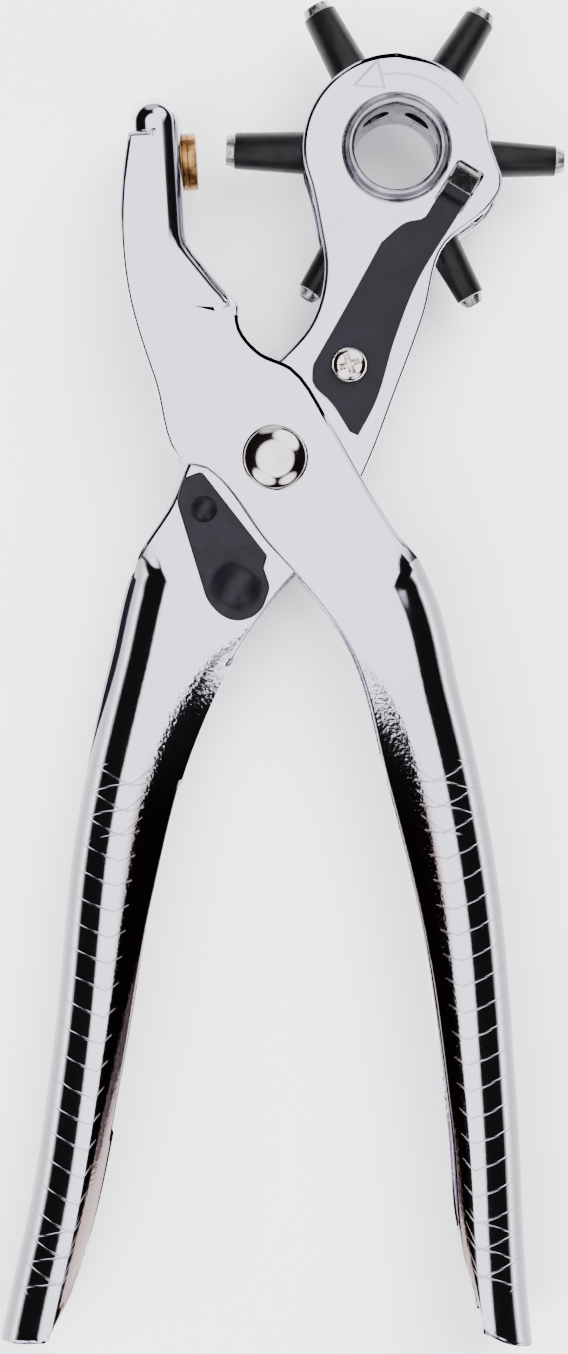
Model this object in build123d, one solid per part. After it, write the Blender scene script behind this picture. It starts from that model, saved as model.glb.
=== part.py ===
"""Rotary hole punch: two pressed-channel levers, a six-tube turret, an anvil and a handle latch.

The tool lies flat. +X points right, +Y points along the tool from the handles to the head, and +Z
points out of the front cheeks. The origin is the centre of the turret hub, half way through the
tool's thickness. All sizes are in millimetres, and the jaws and handles stand open.
"""
from build123d import *
import math
import os

# ---------------------------------------------------------------- driving dimensions
sheet = 2.0                 # thickness of both pressed levers
turret_width = 9.2          # face to face of the turret drum
moving_gap = 0.3            # air between pieces of different bodies
running_clearance = 0.05    # radial clearance of every turning fit

pivot_x = -20.2             # lever pivot, from the hub centre
pivot_y = -51.7
closing_angle = 5.3         # degrees that the anvil lever turns to shut the jaws
handle_reach = 148.4        # pivot to the ends of the handles, along Y
shoulder_drop = 16.5        # pivot to where the handle spines begin, along Y
spine_bend = 6.5            # outer bend radius of the handle spines
handle_flare = 1.5          # how much each cheek widens down the punch lever's handle

head_radius = 15.6          # round head of the punch lever
lobe_radius = 5.2           # bulge of the head around the index slot
hub_bore_radius = 7.1       # open hole through the hub
hub_barrel_wall = 1.0
hub_flange_overlap = 1.1    # how far the flange reaches past the barrel
hub_flange_height = 1.4
hub_barrel_depth = 1.7      # how far each barrel reaches into the drum
drum_radius = 14.8          # turret drum
tube_reach = 28.5           # hub centre to the cutting edges
tube_phase = -1.85          # angle of the tube that points right, in degrees
hole_sizes = (4.5, 4.0, 3.5, 3.0, 2.5, 2.0)   # cutting diameters, clockwise from the anvil

anvil_radius = 4.75
anvil_height = 2.4
anvil_drop = 0.9            # how far the anvil's centre sits below the punch line
anvil_stem_radius = 2.2
closed_gap = 0.15           # left between cutting edge and anvil when the jaws are shut
jaw_depth = 8.5             # anvil seat to the jaw's open edge
jaw_bend = 3.2              # outer bend radius along the jaw's spine
jaw_elbow = -14.6           # the spine's elbow, from the middle of the anvil seat along it
jaw_heel = (7.7, -25.3)     # where the spine's wall ends, inward of the seat and along it

rivet_radius = 3.2          # pivot rivet shank
rivet_head_radius = 5.5
rivet_head_height = 2.4
rivet_tail_radius = 4.3
rivet_tail_height = 1.4
washer_thickness = 0.8
spacer_wall = 1.2
wire = 1.6                  # diameter of the opening spring's wire
spring_turns = 3            # the last one stops short, where the legs leave

leaf_thickness = 0.9        # index spring
leaf_tip_half = 2.2         # half the width of the leaf's tip
leaf_flange_gap = 0.9       # between the leaf's tip and the hub's flange
screw_x = -7.9              # index screw
screw_y = -36.3
screw_head_radius = 3.1
screw_head_height = 1.9
screw_shank_radius = 1.9
bush_radius = 3.4
notch_depth = 1.6
notch_foot = 2.4            # width of a notch at its floor
notch_mouth = 4.4           # and at the drum's face

latch_thickness = 1.5
latch_rivet_radius = 1.6
latch_rivet_head = 2.2
latch_boss_radius = 4.0
latch_boss_height = 1.6

# ---------------------------------------------------------------- what follows from them
drum_half = turret_width / 2
punch_in = drum_half + moving_gap
punch_out = punch_in + sheet
anvil_in = punch_out + moving_gap
anvil_out = anvil_in + sheet
handle_run = handle_reach - shoulder_drop
shoulder_y = pivot_y - shoulder_drop
hub_barrel_radius = hub_bore_radius + hub_barrel_wall
hub_flange_radius = hub_barrel_radius + hub_flange_overlap
spacer_radius = rivet_radius + spacer_wall
latch_low = punch_out + moving_gap
latch_high = latch_low + latch_thickness
neck_length = math.hypot(pivot_x, pivot_y)
far = 400.0                 # larger than the tool, for cutting blocks


def ahead(x, y):
    """Place a point that is given from the lever pivot."""
    return (pivot_x + x, pivot_y + y)


def down_handle(x, share):
    """A point beside the pivot by x, at a share of the handle's run below the shoulder."""
    return ahead(x, -shoulder_drop - share * handle_run)


def beside_neck(share, offset):
    """A point at a share of the way from hub to pivot, stepped sideways towards the anvil."""
    along = (pivot_x / neck_length, pivot_y / neck_length)
    x = share * pivot_x + offset * along[1]
    y = share * pivot_y - offset * along[0]
    return (x, y)


def turned(point, angle, centre=(0.0, 0.0)):
    """A point turned about a centre by an angle in degrees."""
    turn = math.radians(angle)
    x = point[0] - centre[0]
    y = point[1] - centre[1]
    return (
        centre[0] + x * math.cos(turn) - y * math.sin(turn),
        centre[1] + x * math.sin(turn) + y * math.cos(turn),
    )


def disc(x, y, radius, low, high):
    """A round bar parallel to Z."""
    return Pos(x, y, (low + high) / 2) * Cylinder(radius, high - low)


def ring(x, y, radius, hole, low, high):
    """A round bar with a hole right through it."""
    return disc(x, y, radius, low, high) - disc(x, y, hole, low - 1, high + 1)


def slab(face, low, high):
    """A flat outline given thickness between two heights."""
    return Pos(0, 0, low) * extrude(face, high - low, dir=(0, 0, 1))


def cheeks(face, inner, outer):
    """The same flat outline on both sides of the tool."""
    return slab(face, inner, outer) + slab(face, -outer, -inner)


def dome(x, y, radius, height, base):
    """A round cap whose flat side lies at the height base and whose top points to +Z."""
    ball = (radius**2 + height**2) / (2 * height)
    sphere = Pos(x, y, base + height - ball) * Sphere(ball)
    return sphere & disc(x, y, radius + 1, base, base + height + 1)


def box(x_range, y_range, z_range):
    """A block between two limits each way."""
    size = [limits[1] - limits[0] for limits in (x_range, y_range, z_range)]
    middle = [(limits[1] + limits[0]) / 2 for limits in (x_range, y_range, z_range)]
    return Pos(*middle) * Box(*size)


# ---------------------------------------------------------------- handle channels
anvil_grip_outer = [
    ahead(21.4, 5.0 - shoulder_drop),
    ahead(23.4, -shoulder_drop),
    down_handle(31.4, 0.18),
    down_handle(37.0, 0.384),
    down_handle(40.7, 0.692),
    down_handle(42.5, 0.948),
    down_handle(44.4, 1.03),
]
anvil_grip_inner = [
    ahead(-1.2, -14.2),
    ahead(2.8, -18.6),
    down_handle(11.6, 0.104),
    down_handle(18.5, 0.280),
    down_handle(24.9, 0.483),
    down_handle(29.4, 0.726),
    down_handle(32.5, 0.909),
    down_handle(35.1, 0.954),
    down_handle(39.2, 0.988),
    down_handle(46.0, 1.003),
]
punch_grip_outer = [
    ahead(-21.5, 5.0 - shoulder_drop),
    ahead(-22.9, -shoulder_drop),
    down_handle(-27.4, 0.128),
    down_handle(-33.4, 0.334),
    down_handle(-37.4, 0.616),
    down_handle(-41.3, 0.820),
    down_handle(-45.0, 0.948),
    down_handle(-47.4, 1.03),
]
punch_grip_inner = [
    ahead(9.0, -14.0),
    down_handle(2.8, 0.024),
    down_handle(-7.0, 0.129),
    down_handle(-13.8, 0.242),
    down_handle(-20.3, 0.431),
    down_handle(-25.6, 0.657),
    down_handle(-32.0, 0.883),
    down_handle(-34.4, 0.937),
    down_handle(-38.2, 0.972),
    down_handle(-42.5, 0.987),
    down_handle(-50.0, 0.994),
]


def inset(line, amount):
    """The same curve moved sideways by an amount, to the right of its direction."""
    points = []
    for share in (0.0, 0.15, 0.3, 0.45, 0.6, 0.75, 0.9, 1.0):
        along = line.tangent_at(share)
        here = line.position_at(share)
        points.append((here.X + amount * along.Y, here.Y - amount * along.X))
    return Spline(*points)


def flared_width(half, flare):
    """The outline seen along X: straight beside the pivot, wider down the grip."""
    start = shoulder_y - 0.13 * handle_run
    finish = shoulder_y - 0.32 * handle_run
    wide = half + flare
    above = shoulder_y + 20
    below = shoulder_y - 2 * handle_run
    outline = make_face([
        Line((above, half), (start, half)),
        Spline((start, half), (finish, wide), tangents=[(-1, 0), (-1, 0)]),
        Polyline((finish, wide), (below, wide), (below, -wide), (finish, -wide)),
        Spline((finish, -wide), (start, -half), tangents=[(1, 0), (1, 0)]),
        Polyline((start, -half), (above, -half), (above, half)),
    ])
    return extrude(Plane.YZ * outline, far, both=True)


def grip_block(line, inner_x, half, flare, bend):
    """A solid handle whose two long spine edges are rounded."""
    start = line @ 0
    end = line @ 1
    face = make_face([line, Polyline(end, (inner_x, end.Y), (inner_x, start.Y), start)])
    block = extrude(face, half + flare, both=True)
    if flare:
        block = block & flared_width(half, flare)
    near = line @ 0.4
    low = line @ 0.9
    spine = min(block.faces(), key=lambda side: side.distance_to(near) + side.distance_to(low))
    return fillet(spine.edges().filter_by(lambda edge: abs(edge.tangent_at(0.5).Z) < 0.5), bend)


def grip(outer, inner, side, half, flare):
    """A handle channel, open towards the other handle; side is +1 right of the pivot, -1 left."""
    line = Spline(*outer)
    inner_x = pivot_x - side * 20
    solid = grip_block(line, inner_x, half, flare, spine_bend)
    hollow_line = inset(line, side * sheet)
    hollow = grip_block(hollow_line, inner_x - side * 5, half - sheet, flare, spine_bend - sheet)
    edge = Spline(*inner)
    beyond = pivot_x + side * 80
    shape = make_face([
        edge,
        Polyline(edge @ 1, (beyond, (edge @ 1).Y), (beyond, (edge @ 0).Y), edge @ 0),
    ])
    below = box((-far, far), (-far, shoulder_y), (-far, far))
    return (solid - hollow) & extrude(shape, far, both=True) & below


# ---------------------------------------------------------------- anvil lever
seat_angle = tube_phase + closing_angle
punch_line = tube_phase + 180
shut_face = turned((tube_reach + closed_gap, anvil_drop), punch_line)
anvil_face = turned(shut_face, closing_angle, (pivot_x, pivot_y))
anvil_seat = turned((anvil_face[0] - anvil_height, anvil_face[1]), seat_angle, anvil_face)


def on_jaw(inward, up):
    """A point of the jaw, from the middle of the anvil's seat, with up along the seat."""
    return turned((anvil_seat[0] + inward, anvil_seat[1] + up), seat_angle, anvil_seat)


def jaw_face():
    """The jaw's outline with a round top, its right side along the spine."""
    top = 5.6
    foot_down = -31.0
    foot_in = jaw_heel[0] * (foot_down - jaw_elbow) / (jaw_heel[1] - jaw_elbow)
    foot = on_jaw(foot_in, foot_down)
    round_top = jaw_depth / 2
    spine = FilletPolyline(foot, on_jaw(0, jaw_elbow), on_jaw(0, top), radius=4)
    return make_face([
        spine,
        ThreePointArc(on_jaw(0, top), on_jaw(-round_top, top + round_top), on_jaw(-jaw_depth, top)),
        Polyline(on_jaw(-jaw_depth, top), on_jaw(-jaw_depth, foot_down), foot),
    ])


def rounded_block(face, half, bend, flat_y):
    """A thick outline with every rim rounded, apart from the straight cut at flat_y."""
    block = extrude(face, half, both=True)
    rims = block.edges().filter_by(lambda edge: abs(abs(edge.center().Z) - half) < 0.01)
    rims = rims.filter_by(lambda edge: edge.center().Y > flat_y)
    return fillet(rims, bend)


def jaw():
    """The anvil lever's jaw: a channel open to the left, closed over its top."""
    outline = jaw_face()
    bottom = outline.bounding_box().min.Y + 4
    web_end = on_jaw(*jaw_heel)[1]
    cap_end = on_jaw(0, 3.6)[1]
    solid = rounded_block(outline, anvil_out, jaw_bend, bottom)
    inner = offset(outline, amount=-sheet)
    hollow = rounded_block(inner, anvil_in, jaw_bend - sheet, bottom + sheet)
    open_side = (anvil_seat[0] - far, anvil_seat[0] - jaw_depth / 2)
    hollow += box(open_side, (bottom, cap_end), (-anvil_in, anvil_in))
    shell = solid - hollow
    return shell & box((-far, far), (web_end, far), (-far, far)), web_end, cap_end


def anvil_cheek_faces(web_end, cap_end):
    """Flat outlines of one cheek: beside the pivot, and inside the jaw's rounded spine."""
    left = Spline(
        on_jaw(-jaw_depth, 3.6),
        on_jaw(-jaw_depth - 1.4, -4.0),
        on_jaw(-jaw_depth - 2.2, -13.0),
        ahead(-24.5, 27.8),
        ahead(-20.1, 12.9),
        ahead(-14.4, -1.1),
    )
    inner_jaw = offset(jaw_face(), amount=-jaw_bend)
    band_low = web_end - 4
    band = Polyline((-far, band_low), (far, band_low), (far, cap_end), (-far, cap_end), (-far, band_low))
    inner_jaw = inner_jaw & make_face(band)
    lower = make_face([
        left,
        Polyline(
            ahead(-14.4, -1.1),
            ahead(-11.3, -1.7),
            ahead(-10.8, -2.1),
            ahead(-1.2, -14.2),
            ahead(0.9, -shoulder_drop),
            ahead(22.3, -shoulder_drop),
            ahead(21.0, -15.0),
        ),
        Spline(ahead(21.0, -15.0), ahead(16.9, -7.7), ahead(9.1, 5.7), ahead(2.7, 14.9)),
        Polyline(
            ahead(2.7, 14.9),
            ahead(-2.7, 17.5),
            ahead(-5.7, 21.1),
            on_jaw(*jaw_heel),
            on_jaw(-2.0, -14.0),
            on_jaw(-jaw_depth / 2, 3.6),
            on_jaw(-jaw_depth, 3.6),
        ),
    ])
    return [lower, inner_jaw]


def make_anvil_lever():
    shell, web_end, cap_end = jaw()
    lever = grip(anvil_grip_outer, anvil_grip_inner, 1, anvil_out, 0) + shell
    for face in anvil_cheek_faces(web_end, cap_end):
        lever += cheeks(face, anvil_in, anvil_out)
    lever -= disc(pivot_x, pivot_y, rivet_radius, -far, far)
    lever -= along_anvil(anvil_stem_radius, -anvil_height - sheet - 2, 0)
    return lever


def along_anvil(radius, start, end):
    """A round bar on the anvil's axis, between two distances out from the anvil's face."""
    length = end - start
    bar = Rot(0, 90, 0) * Cylinder(radius, length)
    middle = (start + end) / 2
    return Pos(anvil_face[0], anvil_face[1], 0) * Rot(0, 0, seat_angle) * Pos(middle, 0, 0) * bar


def make_anvil():
    """A brass disc whose stem passes through the jaw's spine and is spread inside it."""
    back = -anvil_height - sheet
    pad = along_anvil(anvil_radius, -anvil_height, 0)
    pad = chamfer(pad.edges().sort_by(Axis.X)[-1], 0.25)
    return pad + along_anvil(anvil_stem_radius, back, -anvil_height) + along_anvil(2.9, back - 0.9, back)


# ---------------------------------------------------------------- punch lever
leaf_pass = hub_flange_radius + leaf_tip_half + leaf_flange_gap   # nearest that its line comes to the hub
screw_run = math.hypot(screw_x, screw_y)
leaf_turn = math.atan2(-screw_y, -screw_x) - math.asin(leaf_pass / screw_run)
leaf_angle = math.degrees(leaf_turn)
notch_run = math.sqrt(screw_run**2 - leaf_pass**2) - 0.65   # index screw to the middle of the bent tip


def on_leaf(along, across):
    """A point of the index spring, from its screw; across is to the left of its length."""
    return (
        screw_x + along * math.cos(leaf_turn) - across * math.sin(leaf_turn),
        screw_y + along * math.sin(leaf_turn) + across * math.cos(leaf_turn),
    )


notch_point = on_leaf(notch_run, 0)
notch_angle = math.degrees(math.atan2(notch_point[1], notch_point[0]))


def make_punch_lever():
    head_low = turned((head_radius * 0.98, 0), 208)
    left = Spline(
        head_low,
        beside_neck(0.30, 7.4),
        beside_neck(0.41, 3.9),
        beside_neck(0.586, 2.65),
        beside_neck(0.71, 5.1),
        beside_neck(0.865, 10.2),
        ahead(-14.5, -0.8),
        ahead(-16.9, -6.8),
        ahead(-21.9, -shoulder_drop),
    )
    lobe = on_leaf(notch_run + 2.5, -1.0)
    lobe_low = (lobe[0] + lobe_radius * 0.70, lobe[1] - lobe_radius * 0.71)
    right = Spline(
        lobe_low,
        beside_neck(0.228, -13.2),
        beside_neck(0.43, -14.4),
        beside_neck(0.69, -14.7),
        beside_neck(0.90, -14.8),
        ahead(11.5, -9.0),
        ahead(6.5, -shoulder_drop),
    )
    body = make_face([
        left,
        Line(left @ 1, right @ 1),
        right,
        Polyline(lobe_low, lobe, (0, 0), head_low),
    ])
    lever = grip(punch_grip_outer, punch_grip_inner, -1, punch_out, handle_flare)
    lever += cheeks(body, punch_in, punch_out)
    for x, y, radius in ((0, 0, head_radius), (lobe[0], lobe[1], lobe_radius)):
        lever += disc(x, y, radius, punch_in, punch_out) + disc(x, y, radius, -punch_out, -punch_in)
    lever -= disc(0, 0, hub_barrel_radius, -far, far)
    lever -= disc(pivot_x, pivot_y, spacer_radius + running_clearance, -far, far)
    lever -= disc(screw_x, screw_y, screw_shank_radius, 0, far)
    lever -= disc(screw_x, screw_y, bush_radius - 1, -far, 0)
    lever -= disc(*latch_rivet_place, latch_rivet_radius, 0, far)
    slot_half = leaf_tip_half + 0.4
    slot_start = notch_run - 3.6
    slot_end = notch_run + 4.6
    slot = make_face(Polyline(
        on_leaf(slot_start, slot_half),
        on_leaf(slot_end, slot_half),
        on_leaf(slot_end, -slot_half),
        on_leaf(slot_start, -slot_half),
        on_leaf(slot_start, slot_half),
    ))
    return lever - slab(slot, 0, punch_out + 1)


def make_hub_bush(side):
    """A flanged bush, pressed in one cheek, that the drum turns on."""
    top = punch_out + hub_flange_height
    round_edge = 0.5 * hub_flange_height
    lead = 0.3
    rim = (hub_flange_radius, top - round_edge)
    rounding = RadiusArc(rim, (hub_flange_radius - round_edge, top), -round_edge)
    section = make_face([
        Polyline(
            (hub_bore_radius, drum_half - hub_barrel_depth),
            (hub_barrel_radius, drum_half - hub_barrel_depth),
            (hub_barrel_radius, punch_out),
            (hub_flange_radius, punch_out),
            (hub_flange_radius, top - round_edge),
        ),
        rounding,
        Polyline(
            (hub_flange_radius - round_edge, top),
            (hub_bore_radius + lead, top),
            (hub_bore_radius, top - lead),
            (hub_bore_radius, drum_half - hub_barrel_depth),
        ),
    ])
    bush = revolve(Plane.XZ * section, Axis.Z)
    return bush if side > 0 else mirror(bush, about=Plane.XY)


def make_index_spring():
    """A flat leaf that is screwed to the head and dips through a slot into the drum's notch."""
    outline = make_face([
        Spline(
            on_leaf(notch_run - 6.8, leaf_tip_half),
            on_leaf(notch_run - 9.2, 4.4),
            on_leaf(notch_run - 14.2, 6.2),
            on_leaf(8.3, 5.6),
            on_leaf(-3.0, 5.2),
        ),
        Spline(on_leaf(-3.0, 5.2), on_leaf(-5.4, 3.9), on_leaf(-6.8, -0.8), on_leaf(-9.2, -5.8)),
        Line(on_leaf(-9.2, -5.8), on_leaf(-9.0, -7.3)),
        Spline(
            on_leaf(-9.0, -7.3),
            on_leaf(-3.6, -7.0),
            on_leaf(7.9, -4.1),
            on_leaf(notch_run - 16.6, -leaf_tip_half - 0.1),
            on_leaf(notch_run - 5.4, -leaf_tip_half),
        ),
        Polyline(
            on_leaf(notch_run - 5.4, -leaf_tip_half),
            on_leaf(notch_run + 6, -leaf_tip_half),
            on_leaf(notch_run + 6, leaf_tip_half),
            on_leaf(notch_run - 6.8, leaf_tip_half),
        ),
    ])
    low = drum_half - notch_depth + 0.25
    path = FilletPolyline(
        (-14, punch_out),
        (notch_run - 2.9, punch_out),
        (notch_run - 0.8, low),
        (notch_run + 0.8, low),
        (notch_run + 3.7, punch_out + 0.8),
        radius=0.5,
    )
    side = make_face(offset(path, amount=leaf_thickness, side=Side.LEFT).edges())
    origin = (screw_x, screw_y, 0)
    lengthwise = Plane(origin=origin, x_dir=on_direction(leaf_angle), z_dir=on_direction(leaf_angle - 90))
    strip = extrude(lengthwise * side, 12, both=True)
    leaf = strip & slab(outline, 0, far)
    return leaf - disc(screw_x, screw_y, screw_shank_radius, 0, far)


def on_direction(angle):
    """A level unit vector at an angle from +X."""
    return (math.cos(math.radians(angle)), math.sin(math.radians(angle)), 0)


def make_index_screw():
    """A cross-recessed pan-head screw."""
    base = punch_out + leaf_thickness
    head = disc(screw_x, screw_y, screw_head_radius, base, base + screw_head_height)
    head = fillet(head.edges().sort_by(Axis.Z)[-1], 0.45 * screw_head_height)
    for turn in (20, 110):
        slot = Rot(0, 0, turn) * Box(1.25 * screw_head_radius, 0.8, 2.4)
        head -= Pos(screw_x, screw_y, base + screw_head_height) * slot
    return head + disc(screw_x, screw_y, screw_shank_radius, 0, base)


def make_index_bush():
    """A threaded pillar that keeps the cheeks apart and is riveted into the rear one."""
    shank = bush_radius - 1
    pillar = disc(screw_x, screw_y, bush_radius, -punch_in, punch_in)
    pillar += disc(screw_x, screw_y, shank, -punch_out, -punch_in)
    pillar += mirror(dome(screw_x, screw_y, bush_radius, 0.9, punch_out), about=Plane.XY)
    return pillar - disc(screw_x, screw_y, screw_shank_radius, 0, far)


# ---------------------------------------------------------------- latch
latch_rivet_place = ahead(-11.8, -8.5)
latch_boss_place = ahead(-6.4, -21.4)


def make_latch():
    """A pressed plate with a domed thumb boss, on the front of the punch lever's handle."""
    corners = (
        (-12.2, -2.2, 0.9), (-15.4, -3.4, 1.8), (-16.3, -7.4, 2.5), (-11.4, -23.4, 4.0),
        (-7.2, -27.4, 2.5), (-3.8, -26.6, 2.0), (-0.8, -21.2, 1.6), (-1.9, -18.2, 0.8),
        (-1.3, -16.2, 0.5),
    )
    points = [ahead(x, y) for x, y, radius in corners]
    face = make_face(Polyline(*points, points[0]))
    for x, y, radius in corners:
        spot = Vector(*ahead(x, y), 0)
        corner = min(face.vertices(), key=lambda vertex: (vertex.center() - spot).length)
        face = fillet(corner, radius)
    plate = slab(face, latch_low, latch_high)
    plate += dome(*latch_boss_place, latch_boss_radius, latch_boss_height, latch_high)
    plate -= dome(*latch_boss_place, 0.75 * latch_boss_radius, latch_boss_height, latch_low)
    return plate - disc(*latch_rivet_place, latch_rivet_radius + running_clearance, 0, far)


def make_latch_rivet():
    """A domed rivet through the latch, spread inside the front cheek."""
    shank = disc(*latch_rivet_place, latch_rivet_radius, punch_in, latch_high + running_clearance)
    head = dome(*latch_rivet_place, latch_rivet_head, 1.0, latch_high + running_clearance)
    return shank + head + disc(*latch_rivet_place, latch_rivet_head, punch_in - 0.8, punch_in)


def make_latch_washer():
    return ring(*latch_rivet_place, 3.2, latch_rivet_radius, punch_out, latch_low - running_clearance)


# ---------------------------------------------------------------- pivot
def make_pivot_rivet():
    """A domed rivet that holds the anvil lever's cheeks on the spacer."""
    shank = disc(pivot_x, pivot_y, rivet_radius, -anvil_out - washer_thickness, anvil_out)
    head = dome(pivot_x, pivot_y, rivet_head_radius, rivet_head_height, anvil_out)
    tail = dome(pivot_x, pivot_y, rivet_tail_radius, rivet_tail_height, anvil_out + washer_thickness)
    return shank + head + mirror(tail, about=Plane.XY)


def make_pivot_spacer():
    return ring(pivot_x, pivot_y, spacer_radius, rivet_radius, -anvil_in, anvil_in)


def make_pivot_washer():
    low = -anvil_out - washer_thickness
    return ring(pivot_x, pivot_y, rivet_tail_radius + 0.9, rivet_radius, low, -anvil_out)


def leg_end(line, start, angle):
    """Where a leg from a start point, at an angle, comes to a curve."""
    across = (-math.sin(math.radians(angle)), math.cos(math.radians(angle)))
    low = 0.0
    high = 0.4
    for step in range(40):
        middle = (low + high) / 2
        here = line.position_at(middle)
        side = (here.X - start[0]) * across[0] + (here.Y - start[1]) * across[1]
        above = side > 0 if math.cos(math.radians(angle)) > 0 else side < 0
        low, high = (middle, high) if above else (low, middle)
    here = line.position_at(low)
    return (here.X, here.Y)


def make_opening_spring():
    """A torsion spring round the spacer, one leg against each handle's spine."""
    coil_radius = spacer_radius + moving_gap + wire / 2
    pitch = wire + 0.12
    right_leg = -40
    left_leg = 220
    first = left_leg + 90
    last = right_leg - 90 + 360 * spring_turns
    height = pitch * (last - first) / 360
    helix = Helix(pitch, height, coil_radius)
    section = Plane(origin=helix @ 0, z_dir=helix % 0) * Circle(wire / 2)
    coil = sweep(section, path=helix, is_frenet=True)
    spring = Pos(pivot_x, pivot_y, -height / 2) * Rot(0, 0, first) * coil
    inner_bend = spine_bend - sheet
    for grip_line, side, angle, level, inner_half in (
        (anvil_grip_outer, 1, right_leg, height / 2, anvil_in),
        (punch_grip_outer, -1, left_leg, -height / 2, punch_in),
    ):
        into_bend = max(0, abs(level) + wire / 4 - (inner_half - inner_bend))
        rise = inner_bend - math.sqrt(inner_bend**2 - into_bend**2)
        rest_gap = sheet + wire / 2 + 0.1 + rise
        around = angle - 90 if side > 0 else angle + 90
        start = turned((coil_radius + pivot_x, pivot_y), around, (pivot_x, pivot_y))
        end = leg_end(inset(Spline(*grip_line), side * rest_gap), start, angle)
        length = math.hypot(end[0] - start[0], end[1] - start[1])
        centre = ((start[0] + end[0]) / 2, (start[1] + end[1]) / 2, level)
        bar = Rot(0, 0, angle) * Rot(0, 90, 0) * Cylinder(wire / 2, length)
        spring += Pos(*centre) * bar
        spring += Pos(start[0], start[1], level) * Sphere(wire / 2)
    return spring


# ---------------------------------------------------------------- turret
def tube_sizes(hole):
    """Base, shank and tip radius of the tube that cuts a hole of this diameter."""
    base = 2.3 + 0.27 * hole
    tip = 1.17 + 0.34 * hole
    return base, base - 0.35, tip


def tube_angle(index):
    """Angle of a tube from +X; the first stands at the anvil and the rest follow clockwise."""
    return punch_line - 60 * index


def on_tube(index, solid):
    """A solid made along +Z from the hub, laid along one tube."""
    return Rot(0, 0, tube_angle(index)) * Rot(0, 90, 0) * solid


def bar_up(radius, low, high):
    """A round bar along +Z between two heights."""
    return disc(0, 0, radius, low, high)


shank_start = hub_barrel_radius + 1.4


def make_turret_body():
    """The drum, with six threaded sockets, six index notches and an open centre."""
    drum = ring(0, 0, drum_radius, hub_bore_radius + 0.2, -drum_half, drum_half)
    circles = drum.edges().filter_by(GeomType.CIRCLE)
    drum = chamfer(circles.filter_by(lambda edge: edge.radius > drum_radius - 1), 0.4)
    seat = hub_barrel_radius + running_clearance
    drum -= disc(0, 0, seat, drum_half - hub_barrel_depth - 0.1, drum_half + 1)
    drum -= disc(0, 0, seat, -drum_half - 1, -drum_half + hub_barrel_depth + 0.1)
    for index, hole in enumerate(hole_sizes):
        base, shank, tip = tube_sizes(hole)
        drum -= on_tube(index, bar_up(shank, shank_start, drum_radius + 5))
        drum -= on_tube(index, bar_up(shank - 0.5, 0, shank_start))
    wide = notch_mouth / 2
    narrow = notch_foot / 2
    floor = drum_half - notch_depth
    above = drum_half + 0.5
    mouth, foot = (wide, above), (narrow, floor)
    groove = make_face(Polyline((-wide, above), (-narrow, floor), foot, mouth, (-wide, above)))
    start = hub_flange_radius + 0.6
    groove = Pos(start, 0, 0) * extrude(Plane.YZ * groove, far, dir=(1, 0, 0))
    for index in range(len(hole_sizes)):
        drum -= Rot(0, 0, notch_angle + 60 * index) * groove
    return drum


def make_punch_tube(index):
    """A tapered tube with a ground cutting edge, screwed into the drum."""
    base, shank, tip = tube_sizes(hole_sizes[index])
    hole = hole_sizes[index] / 2
    collar = drum_radius + 0.4
    shoulder = tube_reach - 1.3
    steps = Polyline(
        (hole + 0.15, shank_start),
        (shank, shank_start),
        (shank, collar),
        (base, collar),
        (base, collar + 1.0),
        (tip + 0.35, shoulder),
        (tip - 0.05, shoulder + 0.25),
        (hole + 0.12, tube_reach),
        (hole, tube_reach),
        (hole, shoulder),
        (hole + 0.15, shank_start),
    )
    tube = revolve(Plane.XZ * make_face(steps), Axis.Z)
    return on_tube(index, tube)


# ---------------------------------------------------------------- write every piece
pieces = {
    "punch_lever": make_punch_lever(),
    "anvil_lever": make_anvil_lever(),
    "anvil": make_anvil(),
    "hub_bush_front": make_hub_bush(1),
    "hub_bush_rear": make_hub_bush(-1),
    "index_spring": make_index_spring(),
    "index_screw": make_index_screw(),
    "index_bush": make_index_bush(),
    "latch_plate": make_latch(),
    "latch_rivet": make_latch_rivet(),
    "latch_washer": make_latch_washer(),
    "pivot_rivet": make_pivot_rivet(),
    "pivot_spacer": make_pivot_spacer(),
    "pivot_washer": make_pivot_washer(),
    "opening_spring": make_opening_spring(),
    "turret_drum": make_turret_body(),
}
for number, size in enumerate(hole_sizes):
    pieces[f"punch_tube_{size * 10:.0f}"] = make_punch_tube(number)

os.makedirs("parts", exist_ok=True)
for name, piece in pieces.items():
    export_step(piece, f"parts/{name}.step")
    print(name, round(piece.volume, 2), len(piece.solids()))
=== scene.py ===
"""Rotary hole punch: the looks of a chromed pressed-steel leather punch, piece by piece.

Sizes are in millimetres in the classes below and become metres when a mesh is finished. The frame is
the CAD frame: the origin is the centre of the turret hub, +Y runs along the tool to the head, and +Z
points out of the front cheeks.
"""
import logging
import math
from dataclasses import dataclass
from enum import Enum
from typing import Sequence

import bmesh
import bpy
from mathutils import Matrix, Vector


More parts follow.
